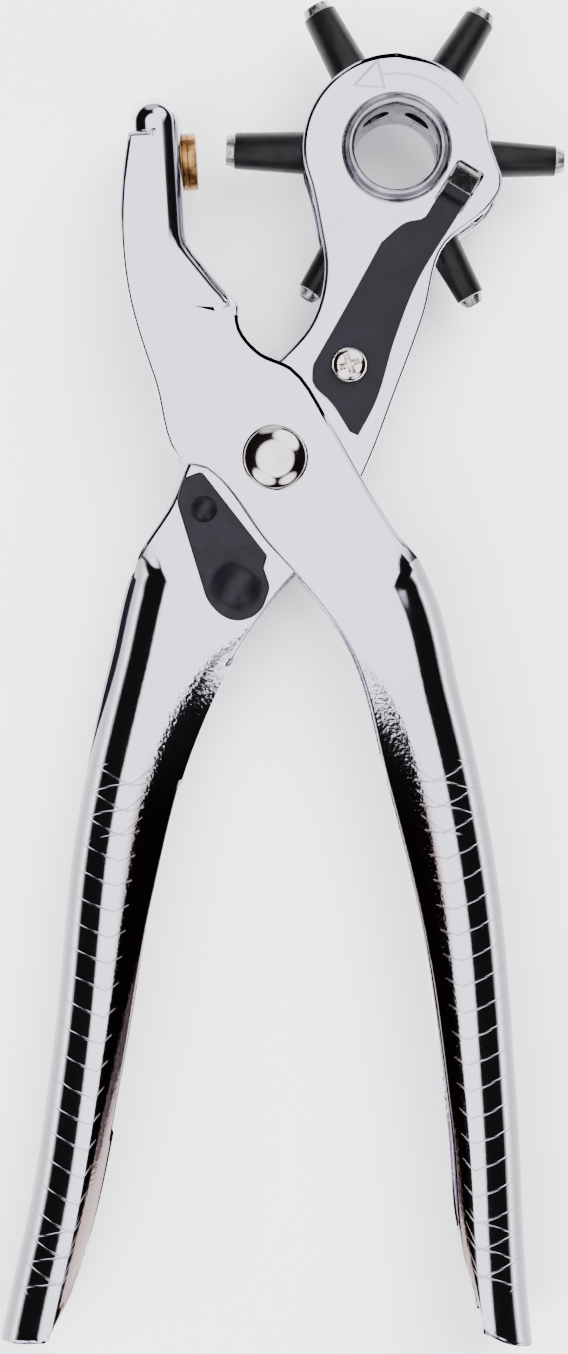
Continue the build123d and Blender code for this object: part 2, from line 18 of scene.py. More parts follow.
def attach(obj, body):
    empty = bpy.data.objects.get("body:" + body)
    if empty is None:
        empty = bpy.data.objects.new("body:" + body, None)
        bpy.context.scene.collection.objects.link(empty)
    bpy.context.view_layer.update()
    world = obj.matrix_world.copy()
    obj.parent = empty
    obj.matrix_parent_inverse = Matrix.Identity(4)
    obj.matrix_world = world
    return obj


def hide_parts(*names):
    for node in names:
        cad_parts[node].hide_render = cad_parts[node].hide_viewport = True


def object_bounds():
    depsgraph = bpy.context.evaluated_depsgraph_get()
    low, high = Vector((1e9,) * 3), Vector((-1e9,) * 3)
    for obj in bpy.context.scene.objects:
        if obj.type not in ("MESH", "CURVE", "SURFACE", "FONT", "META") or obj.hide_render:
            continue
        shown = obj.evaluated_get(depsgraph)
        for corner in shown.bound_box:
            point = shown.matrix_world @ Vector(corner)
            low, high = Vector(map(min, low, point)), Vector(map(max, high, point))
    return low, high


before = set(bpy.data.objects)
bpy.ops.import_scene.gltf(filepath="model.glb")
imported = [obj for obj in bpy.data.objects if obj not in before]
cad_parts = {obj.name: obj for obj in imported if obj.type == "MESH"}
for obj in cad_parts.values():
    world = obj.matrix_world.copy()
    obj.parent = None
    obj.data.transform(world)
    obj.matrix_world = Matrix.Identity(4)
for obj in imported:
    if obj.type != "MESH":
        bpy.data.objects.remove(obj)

CAD_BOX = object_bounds()
LOG = logging.getLogger("hole_punch")
MM = 0.001
SHARP = 40.0      # edges over this angle, in degrees, stay sharp
THROUGH = 20.0    # a cutter reaches this far, in millimetres, so that it passes every wall

Point = tuple[float, float]


class Body(Enum):
    """The moving bodies of the tool."""

    PUNCH = "punch_lever"
    ANVIL = "anvil_lever"
    TURRET = "turret"
    LATCH = "latch"


class Slot(Enum):
    """The material slots."""

    LEVER = "lever_chrome"
    HUB = "hub_steel"
    DRUM = "drum_steel"
    BRIGHT = "bright_fastener"
    OXIDE = "black_oxide"
    BLACKENED = "blackened_steel"
    WIRE = "spring_steel"
    BRASS = "anvil_brass"


# ------------------------------------------------------------------ shared sizes, in millimetres
@dataclass(frozen=True)
class Sizes:
    """The tool's main sizes, the same as the CAD model's."""

    sheet: float = 2.0
    drum_half: float = 4.6
    gap: float = 0.3
    pivot: Point = (-20.2, -51.7)
    shoulder_drop: float = 16.5
    handle_run: float = 131.9
    closing_angle: float = 5.3
    tube_reach: float = 28.5
    tube_phase: float = -1.85
    head_radius: float = 15.6
    hub_bore: float = 7.1
    drum_radius: float = 14.8
    screw: Point = (-7.9, -36.3)
    leaf_angle: float = 58.38
    notch_run: float = 34.42
    hub_seat: float = 8.1
    latch_offset: Point = (-11.8, -8.5)

    @property
    def punch_in(self) -> float:
        """Inner face of the punch lever's cheeks."""
        return self.drum_half + self.gap

    @property
    def punch_out(self) -> float:
        """Outer face of the punch lever's cheeks."""
        return self.punch_in + self.sheet

    @property
    def anvil_in(self) -> float:
        """Inner face of the anvil lever's cheeks."""
        return self.punch_out + self.gap

    @property
    def anvil_out(self) -> float:
        """Outer face of the anvil lever's cheeks."""
        return self.anvil_in + self.sheet


SIZE = Sizes()


def turned(point: Point, angle: float, centre: Point = (0.0, 0.0)) -> Point:
    """Turn a point about a centre.

    Args:
        point: the point to turn.
        angle: degrees, anticlockwise.
        centre: the centre of the turn.

    Returns:
        The turned point.
    """
    turn = math.radians(angle)
    x, y = point[0] - centre[0], point[1] - centre[1]
    return (
        centre[0] + x * math.cos(turn) - y * math.sin(turn),
        centre[1] + x * math.sin(turn) + y * math.cos(turn),
    )


def ahead(x: float, y: float) -> Point:
    """A point given from the lever pivot."""
    return (SIZE.pivot[0] + x, SIZE.pivot[1] + y)


def down_handle(x: float, share: float) -> Point:
    """A point beside the pivot by x, at a share of the handle's run."""
    return ahead(x, -SIZE.shoulder_drop - share * SIZE.handle_run)


def beside_neck(share: float, offset: float) -> Point:
    """A point between hub and pivot, stepped sideways towards the anvil."""
    length = math.hypot(*SIZE.pivot)
    along = (SIZE.pivot[0] / length, SIZE.pivot[1] / length)
    return (share * SIZE.pivot[0] + offset * along[1], share * SIZE.pivot[1] - offset * along[0])


def on_leaf(along: float, across: float) -> Point:
    """A point of the index spring, from its screw, with across to its left."""
    x, y = turned((along, across), SIZE.leaf_angle)
    return (SIZE.screw[0] + x, SIZE.screw[1] + y)


def handle_share(y: float) -> float:
    """How far down the handle a height lies, 0 at the shoulder and 1 at the end."""
    return (SIZE.pivot[1] - SIZE.shoulder_drop - y) / SIZE.handle_run


def smooth(value: float, low: float, high: float) -> float:
    """A smooth step from 0 at low to 1 at high."""
    share = min(1.0, max(0.0, (value - low) / (high - low)))
    return share * share * (3 - 2 * share)


# ------------------------------------------------------------------ finishes
def linear(hex_colour: str) -> tuple[float, float, float, float]:
    """Turn an sRGB hex colour into linear RGBA."""
    parts = [int(hex_colour[i:i + 2], 16) / 255 for i in (0, 2, 4)]
    values = [c / 12.92 if c <= 0.04045 else ((c + 0.055) / 1.055) ** 2.4 for c in parts]
    return (values[0], values[1], values[2], 1.0)


def add_node(tree: bpy.types.NodeTree, kind: str, inputs: dict | None = None, **settings) -> bpy.types.Node:
    """Add a shader node with its settings, values and links.

    Args:
        tree: the node tree.
        kind: the node's type, without the ShaderNode prefix.
        inputs: socket name or number to a value, to an output socket to link, or to a node whose
            first output is linked.
        settings: attributes of the node.

    Returns:
        The new node.
    """
    node = tree.nodes.new("ShaderNode" + kind)
    for name, value in settings.items():
        setattr(node, name, value)
    for key, value in (inputs or {}).items():
        if isinstance(value, bpy.types.Node):
            value = value.outputs[0]
        if isinstance(value, bpy.types.NodeSocket):
            tree.links.new(value, node.inputs[key])
        else:
            node.inputs[key].default_value = value
    return node


# Settings of a Map Range node that eases in and out at both ends.
EASED = {"interpolation_type": "SMOOTHSTEP"}


@dataclass(frozen=True)
class Finish:
    """A metal finish with grain, colour variation and fine bump.

    Each size is in millimetres, so that the grain keeps its real scale.
    """

    name: str
    colour: str
    second: str
    metallic: float
    roughness: float
    roughness_spread: float = 0.05
    blotch_mm: float = 6.0
    grain_mm: float = 0.5
    bump: float = 0.1
    bump_mm: float = 0.01
    specular: float = 0.5
    stretch: tuple[float, float, float] = (1.0, 1.0, 1.0)

    def material(self) -> bpy.types.Material:
        """The finish as a material, made once and shared."""
        found = bpy.data.materials.get(self.name)
        if found:
            return found
        made = bpy.data.materials.new(self.name)
        made.use_nodes = True
        tree = made.node_tree
        tree.nodes.clear()
        inputs = {"Metallic": self.metallic, "Specular IOR Level": self.specular}
        shader = add_node(tree, "BsdfPrincipled", inputs)
        output = add_node(tree, "OutputMaterial")
        tree.links.new(shader.outputs[0], output.inputs[0])
        self.dress(tree, shader)
        return made

    def place(self, tree: bpy.types.NodeTree) -> bpy.types.NodeSocket:
        """Object coordinates, stretched along the grain."""
        coordinates = add_node(tree, "TexCoord")
        mapping = add_node(tree, "Mapping", {"Vector": coordinates.outputs["Object"], "Scale": self.stretch})
        return mapping.outputs[0]

    def noise(self, tree: bpy.types.NodeTree, size_mm: float, detail: float = 3.0) -> bpy.types.NodeSocket:
        """Noise whose lumps are about the given size."""
        inputs = {"Vector": self.place(tree), "Scale": 1 / (size_mm * MM), "Detail": detail}
        return add_node(tree, "TexNoise", inputs).outputs["Fac"]

    def colours(self, tree: bpy.types.NodeTree) -> bpy.types.NodeSocket:
        """The two colours mixed in soft blotches."""
        blotches = self.noise(tree, self.blotch_mm)
        share = add_node(tree, "MapRange", {0: blotches, 1: 0.35, 2: 0.65}, **EASED)
        mix = add_node(tree, "Mix", {0: share, 6: linear(self.colour), 7: linear(self.second)},
                       data_type="RGBA")
        return mix.outputs[2]

    def height(self, tree: bpy.types.NodeTree) -> bpy.types.NodeSocket:
        """The fine relief, 0 to 1."""
        return self.noise(tree, self.grain_mm)

    def dress(self, tree: bpy.types.NodeTree, shader: bpy.types.Node) -> None:
        """Link colour, roughness and bump to the shader."""
        low, high = self.roughness - self.roughness_spread, self.roughness + self.roughness_spread
        wear = self.noise(tree, self.grain_mm * 3)
        rough = add_node(tree, "MapRange", {0: wear, 1: 0.3, 2: 0.7, 3: low, 4: high}, **EASED)
        relief = add_node(tree, "Bump", {"Strength": self.bump, "Distance": self.bump_mm * MM,
                                         "Height": self.height(tree)})
        tree.links.new(self.colours(tree), shader.inputs["Base Color"])
        tree.links.new(rough.outputs[0], shader.inputs["Roughness"])
        tree.links.new(relief.outputs[0], shader.inputs["Normal"])


@dataclass(frozen=True)
class Turned(Finish):
    """A turned finish: fine tool rings about the hub's axis."""

    ring_mm: float = 0.35

    def height(self, tree: bpy.types.NodeTree) -> bpy.types.NodeSocket:
        """Rings about +Z, broken up a little by noise."""
        inputs = {"Vector": self.place(tree), "Scale": 1 / (self.ring_mm * MM) / 20, "Distortion": 1.2,
                  "Detail": 2.0}
        rings = add_node(tree, "TexWave", inputs, wave_type="RINGS", rings_direction="Z")
        return rings.outputs["Fac"]


@dataclass(frozen=True)
class ChromePlate(Finish):
    """Nickel-chrome plate on pressed sheet.

    The flats are a mirror. The handles have orange peel inside, and strokes cut across them for grip.
    """

    peel_mm: float = 0.6
    peel_depth_mm: float = 0.05
    stroke_pitch: float = 4.4
    stroke_width: float = 0.11
    long_lean: float = 0.25
    short_lean: float = -0.38
    # Painted shade: the outer part of the handles' bend is darkened in colour, standing in for the shaded
    # floor that it reflects.
    web_shade_colour: str = "7E7D84"
    # Painted shade: the front cheeks of the lower handles are darkened in colour, standing in for the dark
    # reflection of the drooping cheeks.
    lower_cheek_shade_colour: str = "857672"
    # Painted shade: the cut strokes and the arrow are darkened in colour as shade in their grooves; their
    # bump and roughness are real.
    groove_shade_colour: str = "6E6C74"
    arrow: bool = False

    def strokes(self, tree: bpy.types.NodeTree, lean: float, offset: float) -> bpy.types.Node:
        """One family of grip strokes, 1 on a stroke and 0 off it.

        Args:
            tree: the node tree.
            lean: how far a stroke runs down the handle for each millimetre towards the open edge.
            offset: shift along the handle, as a share of the pitch.

        Returns:
            The strokes as a mask.
        """
        place = add_node(tree, "UVMap", uv_map="sheet")
        parts = add_node(tree, "SeparateXYZ", {0: place})
        along = add_node(tree, "Math", {0: parts.outputs[0], 1: 1 / MM}, operation="MULTIPLY")
        across = add_node(tree, "Math", {0: parts.outputs[1], 1: 1 / MM}, operation="MULTIPLY")
        slid = add_node(tree, "Math", {0: across, 1: lean, 2: along}, operation="MULTIPLY_ADD")
        shake = self.noise(tree, 9.0)
        wobble = add_node(tree, "Math", {0: shake, 1: 0.9, 2: slid}, operation="MULTIPLY_ADD")
        cells = add_node(tree, "Math", {0: wobble, 1: self.stroke_pitch}, operation="DIVIDE")
        shifted = add_node(tree, "Math", {0: cells, 1: offset}, operation="ADD")
        part = add_node(tree, "Math", {0: shifted}, operation="FRACT")
        centred = add_node(tree, "Math", {0: part, 1: 0.5}, operation="SUBTRACT")
        off = add_node(tree, "Math", {0: centred}, operation="ABSOLUTE")
        core, skirt = (share * self.stroke_width / self.stroke_pitch for share in (0.5, 1.6))
        mask = add_node(tree, "MapRange", {0: off, 1: core, 2: skirt, 3: 1.0, 4: 0.0}, **EASED)
        for value, low, high, start, end in ((across, -3.6, -2.6, 0.0, 1.0), (across, 9.4, 10.0, 1.0, 0.0),
                                             (along, -6.0, -4.5, 0.0, 1.0), (along, 83.0, 84.5, 1.0, 0.0)):
            inside = add_node(tree, "MapRange", {0: value, 1: low, 2: high, 3: start, 4: end}, **EASED)
            mask = add_node(tree, "Math", {0: mask, 1: inside}, operation="MULTIPLY")
        return mask

    def segment(self, tree: bpy.types.NodeTree, start: Point, end: Point) -> bpy.types.NodeSocket:
        """Distance in metres from a straight line between two points in the XY plane."""
        place = add_node(tree, "TexCoord").outputs["Object"]
        flat = add_node(tree, "VectorMath", {0: place, 1: (1.0, 1.0, 0.0)}, operation="MULTIPLY").outputs[0]
        origin = Vector((start[0] * MM, start[1] * MM, 0))
        run = Vector((end[0] * MM, end[1] * MM, 0)) - origin
        away = add_node(tree, "VectorMath", {0: flat, 1: origin}, operation="SUBTRACT").outputs[0]
        dot = add_node(tree, "VectorMath", {0: away, 1: run / run.length_squared}, operation="DOT_PRODUCT")
        share = add_node(tree, "Clamp", {0: dot.outputs["Value"], 1: 0.0, 2: 1.0}).outputs[0]
        foot = add_node(tree, "VectorMath", {0: run, "Scale": share}, operation="SCALE").outputs[0]
        return add_node(tree, "VectorMath", {0: away, 1: foot}, operation="DISTANCE").outputs["Value"]

    def turning_arrow(self, tree: bpy.types.NodeTree) -> bpy.types.Node:
        """The engraved turning arrow on the head: a triangle with an arc behind it, 1 on a line."""
        corners = ((-7.1, 10.4), (-3.2, 14.6), (-2.1, 10.0))
        arc = [turned((12.4, 0.0), angle) for angle in (101, 90, 79, 68, 57, 46, 36)]
        lines = [*zip(corners, (*corners[1:], corners[0])), *zip(arc, arc[1:])]
        nearest = self.segment(tree, *lines[0])
        for first, last in lines[1:]:
            away = self.segment(tree, first, last)
            nearest = add_node(tree, "Math", {0: nearest, 1: away}, operation="MINIMUM")
        place = add_node(tree, "TexCoord").outputs["Object"]
        front = add_node(tree, "SeparateXYZ", {0: place}).outputs[2]
        line = add_node(tree, "MapRange", {0: nearest, 1: 0.10 * MM, 2: 0.24 * MM, 3: 1.0, 4: 0.0}, **EASED)
        above = add_node(tree, "MapRange", {0: front, 1: 0.0, 2: MM}, **EASED)
        return add_node(tree, "Math", {0: line, 1: above}, operation="MULTIPLY")

    def grip(self, tree: bpy.types.NodeTree, along: bpy.types.NodeSocket) -> bpy.types.Node:
        """The long strokes all down the handle, and the short ones that cross them near both ends."""
        run = add_node(tree, "Math", {0: along, 1: 1 / MM}, operation="MULTIPLY")
        top = add_node(tree, "MapRange", {0: run, 1: 5.0, 2: 9.0, 3: 1.0, 4: 0.0}, **EASED)
        foot = add_node(tree, "MapRange", {0: run, 1: 70.0, 2: 74.0}, **EASED)
        ends = add_node(tree, "Math", {0: top, 1: foot}, operation="MAXIMUM")
        crossing = self.strokes(tree, self.short_lean, 0.1)
        short = add_node(tree, "Math", {0: crossing, 1: ends}, operation="MULTIPLY")
        long = self.strokes(tree, self.long_lean, 0.0)
        return add_node(tree, "Math", {0: long, 1: short}, operation="MAXIMUM")

    def dress(self, tree: bpy.types.NodeTree, shader: bpy.types.Node) -> None:
        """A bright mirror with cut strokes, and peel that grows down the handle."""
        place = add_node(tree, "SeparateXYZ", {0: add_node(tree, "TexCoord").outputs["Object"]})
        sheet = add_node(tree, "SeparateXYZ", {0: add_node(tree, "UVMap", uv_map="sheet")})
        along, across = sheet.outputs[0], sheet.outputs[1]
        shoulder = SIZE.pivot[1] - SIZE.shoulder_drop
        zones = {"handle": (place.outputs[1], shoulder - 2, shoulder - 22), "inside": (across, -0.6, -2.6),
                 "front": (place.outputs[2], 2, 3), "rim": (across, 5.6, 8.2), "drawn": (along, -44, -40),
                 "lower": (along, -12, 8)}
        zone = {name: add_node(tree, "MapRange", {0: value, 1: low * MM, 2: high * MM}, **EASED)
                for name, (value, low, high) in zones.items()}
        # Painted shade: this mask darkens the outer bend of the handles, where the chrome reflects shaded
        # floor; the extra roughness it also gives is real.
        web = add_node(tree, "Math", {0: zone["rim"], 1: zone["drawn"]}, operation="MULTIPLY")

        inner = add_node(tree, "Math", {0: zone["handle"], 1: zone["inside"]}, operation="MULTIPLY")
        base = add_node(tree, "Math", {0: zone["handle"], 1: 0.22, 2: 0.008}, operation="MULTIPLY_ADD")
        rise = add_node(tree, "Math", {0: inner, 1: 1.5, 2: base}, operation="MULTIPLY_ADD")
        ease = add_node(tree, "Math", {0: zone["lower"], 1: -0.35, 2: 1.0}, operation="MULTIPLY_ADD")
        amount = add_node(tree, "Math", {0: rise, 1: ease}, operation="MULTIPLY")
        orange = self.noise(tree, self.peel_mm, 1.0)
        peel = add_node(tree, "Math", {0: orange, 1: amount}, operation="MULTIPLY")

        cut_in = self.grip(tree, along)
        if self.arrow:
            cut_in = add_node(tree, "Math", {0: cut_in, 1: self.turning_arrow(tree)}, operation="MAXIMUM")

        # Painted shade: the front cheek of the lower handle is tinted darker, standing in for the dark
        # reflection where the cheek droops.
        inner_front = add_node(tree, "Math", {0: zone["inside"], 1: zone["front"]}, operation="MULTIPLY")
        low_handle = add_node(tree, "Math", {0: zone["handle"], 1: zone["lower"]}, operation="MULTIPLY")
        lower_cheek_shade = add_node(tree, "Math", {0: inner_front, 1: low_handle}, operation="MULTIPLY")
        # Painted shade: this mask darkens the grooves of the strokes and the arrow in colour.
        share = add_node(tree, "Math", {0: cut_in, 1: 0.45}, operation="MULTIPLY")
        # Below, three painted shades are mixed into the plate's colour: the darkened outer bend, the darkened
        # lower front cheeks and the darkened grooves.
        colour = self.colours(tree)
        for mask, tint in ((web, self.web_shade_colour), (lower_cheek_shade, self.lower_cheek_shade_colour), (share, self.groove_shade_colour)):
            mix = add_node(tree, "Mix", {0: mask, 6: colour, 7: linear(tint)}, data_type="RGBA")
            colour = mix.outputs[2]

        haze = self.noise(tree, 3.0)
        polish = add_node(tree, "MapRange", {0: haze, 1: 0.3, 2: 0.7, 3: self.roughness,
                                             4: self.roughness + self.roughness_spread}, **EASED)
        dull = add_node(tree, "Math", {0: web, 1: 0.7}, operation="MULTIPLY")
        worn = add_node(tree, "Math", {0: cut_in, 1: dull}, operation="MAXIMUM")
        rough = add_node(tree, "Math", {0: worn, 1: 0.18, 2: polish}, operation="MULTIPLY_ADD")

        relief = add_node(tree, "Bump", {"Strength": self.bump, "Distance": self.peel_depth_mm * MM,
                                         "Height": peel})
        groove = add_node(tree, "Bump", {"Strength": 0.5, "Distance": 0.08 * MM, "Height": cut_in,
                                         "Normal": relief}, invert=True)
        tree.links.new(colour, shader.inputs["Base Color"])
        tree.links.new(rough.outputs[0], shader.inputs["Roughness"])
        tree.links.new(groove.outputs[0], shader.inputs["Normal"])


# Chrome over a buffed pressing: mirror flats, with orange peel where the die drew the handles.
LEVER_CHROME = ChromePlate("nickel_chrome_plate_on_pressed_steel", "E4E2EC", "DCDAE6", 1.0, 0.055, 0.03,
                           blotch_mm=30, bump=0.6)
# The same plate on the head, with the turning arrow stamped in it.
HEAD_CHROME = ChromePlate("nickel_chrome_plate_with_stamped_arrow", "E4E2EC", "DCDAE6", 1.0, 0.055, 0.03,
                          blotch_mm=30, bump=0.6, arrow=True)
# Satin plate over tool rings: broad grey glints that run round the hub.
HUB_SATIN = Turned("satin_plated_turned_steel", "A9A8AE", "8E8D94", 1.0, 0.24, 0.08, blotch_mm=4,
                   bump=0.5, bump_mm=0.03)
# Bright plate on the drum, with finer rings.
DRUM_PLATE = Turned("bright_plated_turned_steel", "B5B4B9", "8A898F", 1.0, 0.2, 0.08, blotch_mm=5,
                    bump=0.4, bump_mm=0.02)
# Polished nickel on the rivets: warmer than chrome, with a trace of handling marks.
NICKEL = Finish("polished_nickel_plated_steel", "EFE9E2", "E2DAD2", 1.0, 0.06, 0.03, blotch_mm=3,
                grain_mm=0.8, bump=0.12, bump_mm=0.02)
# Black oxide on turned steel: deep black, a little oily sheen, faint tool marks.
OXIDE = Finish("black_oxide_on_turned_steel", "060607", "0B0B0C", 0.15, 0.36, 0.07, blotch_mm=3,
               grain_mm=0.45, bump=0.25, bump_mm=0.02, specular=0.25)
# Where the cutting edge was ground after blacking, the steel is bare.
GROUND = Finish("ground_bare_tool_steel", "B9B7B4", "8C8A88", 1.0, 0.28, 0.1, blotch_mm=1.2, grain_mm=0.2,
                bump=0.3, bump_mm=0.02)
# Blackened spring steel: flat violet-black with a soft sheen.
BLACKENED = Finish("blackened_spring_steel", "0F0E14", "0B0A0F", 0.1, 0.36, 0.05, blotch_mm=9,
                   grain_mm=0.35, bump=0.15, bump_mm=0.01, specular=0.2)
# Forged black on the latch: the same, with the speckle of scale on its boss.
LATCH_BLACK = Finish("blackened_pressed_steel", "100F15", "0B0A0E", 0.1, 0.34, 0.08, blotch_mm=5,
                     grain_mm=0.4, bump=0.45, bump_mm=0.03, specular=0.22)
# Turned brass, tarnished in bands.
BRASS = Finish("tarnished_turned_brass", "AE8450", "6E4C2C", 1.0, 0.26, 0.09, blotch_mm=2.5, grain_mm=0.4,
               bump=0.3, bump_mm=0.02, stretch=(1.0, 1.0, 0.35))
# Drawn spring wire, grey and a little greasy.
WIRE = Finish("drawn_spring_wire", "77767A", "5A595D", 1.0, 0.3, 0.08, blotch_mm=2, grain_mm=0.3,
              bump=0.2, bump_mm=0.01)
# Zinc-plated pillar and spacer, seen only between the cheeks.
ZINC = Finish("zinc_plated_turned_steel", "A7A8AA", "8D8E92", 1.0, 0.3, 0.08, blotch_mm=3, grain_mm=0.4,
              bump=0.2, bump_mm=0.02)


# ------------------------------------------------------------------ mesh tools
def finish_mesh(name: str, bm: bmesh.types.BMesh, finishes: Sequence[Finish], outward: bool = True,
                sharp: float = SHARP) -> bpy.types.Object:
    """Turn a bmesh in millimetres into an object in metres at the origin.

    Args:
        name: the piece's name.
        bm: the mesh, which is freed.
        finishes: one finish for each material number that the faces use.
        outward: recalculate the normals of a closed shape.
        sharp: edges over this angle, in degrees, stay sharp.

    Returns:
        The new object.
    """
    if outward:
        bmesh.ops.recalc_face_normals(bm, faces=bm.faces)
    bmesh.ops.scale(bm, vec=(MM, MM, MM), verts=bm.verts)
    mesh = bpy.data.meshes.new(name)
    bm.to_mesh(mesh)
    bm.free()
    mesh.shade_smooth()
    mesh.set_sharp_from_angle(angle=math.radians(sharp))
    for one in finishes:
        mesh.materials.append(one.material())
    made = bpy.data.objects.new(name, mesh)
    bpy.context.scene.collection.objects.link(made)
    return made


def apply_modifiers(piece: bpy.types.Object) -> None:
    """Replace the piece's mesh with what its modifiers make."""
    graph = bpy.context.evaluated_depsgraph_get()
    graph.update()
    made = bpy.data.meshes.new_from_object(piece.evaluated_get(graph), depsgraph=graph)
    piece.modifiers.clear()
    old = piece.data
    piece.data = made
    bpy.data.meshes.remove(old)
    made.name = piece.name


def add_bevel(piece: bpy.types.Object, width: float) -> None:
    """Round the piece's sharp edges by a width in millimetres."""
    bevel = piece.modifiers.new("edge", "BEVEL")
    bevel.width = width * MM
    bevel.segments = 2
    bevel.limit_method = "ANGLE"
    bevel.angle_limit = math.radians(SHARP)
    bevel.harden_normals = True
    bevel.use_clamp_overlap = True
    bevel.miter_outer = "MITER_ARC"


def cut(piece: bpy.types.Object, cutters: Sequence[bpy.types.Object]) -> None:
    """Cut holes in a piece and remove the cutters.

    Args:
        piece: the solid to cut.
        cutters: closed solids.
    """
    for cutter in cutters:
        boolean = piece.modifiers.new("cut", "BOOLEAN")
        boolean.operation = "DIFFERENCE"
        boolean.solver = "EXACT"
        boolean.object = cutter
    apply_modifiers(piece)
    for cutter in cutters:
        bpy.data.objects.remove(cutter)


def spun(profile: Sequence[Point], steps: int = 72, closed: bool = True) -> bmesh.types.BMesh:
    """Spin a profile of radius and height about +Z.

    Args:
        profile: points as (radius, height).
        steps: faces round the axis.
        closed: join the last point to the first.

    Returns:
        The mesh, in millimetres.
    """
    bm = bmesh.new()
    verts = [bm.verts.new((radius, 0, height)) for radius, height in profile]
    pairs = list(zip(verts, verts[1:])) + ([(verts[-1], verts[0])] if closed else [])
    edges = [bm.edges.new(pair) for pair in pairs]
    bmesh.ops.spin(bm, geom=verts + edges, cent=(0, 0, 0), axis=(0, 0, 1), angle=2 * math.pi, steps=steps,
                   use_merge=True)
    bmesh.ops.remove_doubles(bm, verts=bm.verts, dist=1e-4)
    return bm


def bar(radius: float, low: float, high: float, steps: int = 48) -> bmesh.types.BMesh:
    """A plain round bar along +Z, used for cutting."""
    bm = bmesh.new()
    bmesh.ops.create_cone(bm, cap_ends=True, segments=steps, radius1=radius, radius2=radius, depth=high - low,
                          matrix=Matrix.Translation((0, 0, (low + high) / 2)))
    return bm


def moved(bm: bmesh.types.BMesh, x: float, y: float, z: float = 0.0, turn: float = 0.0,
          tilt: float = 0.0) -> bmesh.types.BMesh:
    """Tilt a mesh about +Y, turn it about +Z and move it, in place."""
    matrix = Matrix.Translation((x, y, z)) @ Matrix.Rotation(math.radians(turn), 4, "Z")
    matrix = matrix @ Matrix.Rotation(math.radians(tilt), 4, "Y")
    bmesh.ops.transform(bm, matrix=matrix, verts=bm.verts)
    return bm


def dome(radius: float, height: float, base: float, rings: int = 10) -> list[Point]:
    """Profile of a round cap, from its top at the axis to its rim."""
    ball = (radius**2 + height**2) / (2 * height)
    reach = math.asin(radius / ball)
    angles = [reach * i / rings for i in range(rings + 1)]
    return [(ball * math.sin(a), base + height - ball * (1 - math.cos(a))) for a in angles]


def flow(points: Sequence[Point], fine: int = 16) -> list[list[Vector]]:
    """A smooth curve through points, as one list of fine steps for each gap between them."""
    knots = [Vector((p[0], p[1], 0.0)) for p in points]
    knots = [2 * knots[0] - knots[1]] + knots + [2 * knots[-1] - knots[-2]]
    gaps = []
    for a, b, c, d in zip(knots, knots[1:], knots[2:], knots[3:]):
        span = max((c - b).length, 1e-6)
        before = max((b - a).length, 1e-6)
        after = max((d - c).length, 1e-6)
        start = ((c - b) / span * before + (b - a) / before * span) / (span + before) * span
        end = ((c - b) / span * after + (d - c) / after * span) / (span + after) * span
        steps = []
        for i in range(fine + 1):
            t = i / fine
            steps.append(b * (2 * t**3 - 3 * t**2 + 1) + start * (t**3 - 2 * t**2 + t)
                         + c * (3 * t**2 - 2 * t**3) + end * (t**3 - t**2))
        gaps.append(steps)
    return gaps


def spaced(steps: Sequence[Vector], count: int) -> list[Vector]:
    """Points evenly spaced along fine steps, both ends included."""
    runs = [0.0]
    for a, b in zip(steps, steps[1:]):
        runs.append(runs[-1] + (b - a).length)
    found, index = [], 0
    for i in range(count + 1):
        goal = runs[-1] * i / count
        while index < len(steps) - 2 and runs[index + 1] < goal:
            index += 1
        gap = max(runs[index + 1] - runs[index], 1e-9)
        found.append(steps[index].lerp(steps[index + 1], (goal - runs[index]) / gap))
    return found


@dataclass(frozen=True)
class Edge:
    """One long edge of a sheet: its points, and the numbers of its corners.

    Marks are the numbers of the points that pair with the other edge's.
    """

    points: Sequence[Point]
    marks: Sequence[int]
    corners: Sequence[int] = ()

    def gaps(self) -> list[list[Vector]]:
        """Fine steps for each gap between points, smooth everywhere but at the corners."""
        stops = [0, *self.corners, len(self.points) - 1]
        return [gap for first, last in zip(stops, stops[1:]) for gap in flow(self.points[first:last + 1])]

    def rows(self, counts: Sequence[int]) -> list[Vector]:
        """The edge's points, one for each row.

        Args:
            counts: rows between one mark and the next.

        Returns:
            One more point than the counts add up to.
        """
        gaps = self.gaps()
        found: list[Vector] = []
        for first, last, count in zip(self.marks, self.marks[1:], counts):
            steps = [p for gap in gaps[first:last] for p in gap]
            part = spaced(steps, count)
            found += part if not found else part[1:]
        return found


@dataclass(frozen=True)
class Row:
    """One cut across a folded sheet, in millimetres.

    The cheek lies at height half. It drops by droop times its width towards its open edge, and folds
    over by fold (0 to 1) of a right angle round the bend at its spine edge, where the web runs on
    towards the middle.
    """

    open: Vector
    spine: Vector
    inward: Vector
    half: float
    bend: float
    fold: float
    droop: float
    run: float


@dataclass(frozen=True)
class Columns:
    """How many faces a cut across the sheet has on the cheek, the bend and the web."""

    cheek: int = 10
    bend: int = 16
    web: int = 3

    @property
    def total(self) -> int:
        """Faces across."""
        return self.cheek + self.bend + self.web


COLUMNS = Columns()
DROOP_POWER = 1.6       # how sharply a cheek's fall gathers towards its open edge
SHEET_ROLL = 0.6        # radius of a lever's rolled edges
ROLL_LEVEL = 0.56       # edges below this share of the greatest height are left square
FOLD_START = 1.5        # a lever's spine begins to fold this far before the shoulder
FOLD_END = -4.0         # and is fully folded here
RUN_ORIGIN = 40.0       # the sheet's UV map has its zero this far below the shoulder


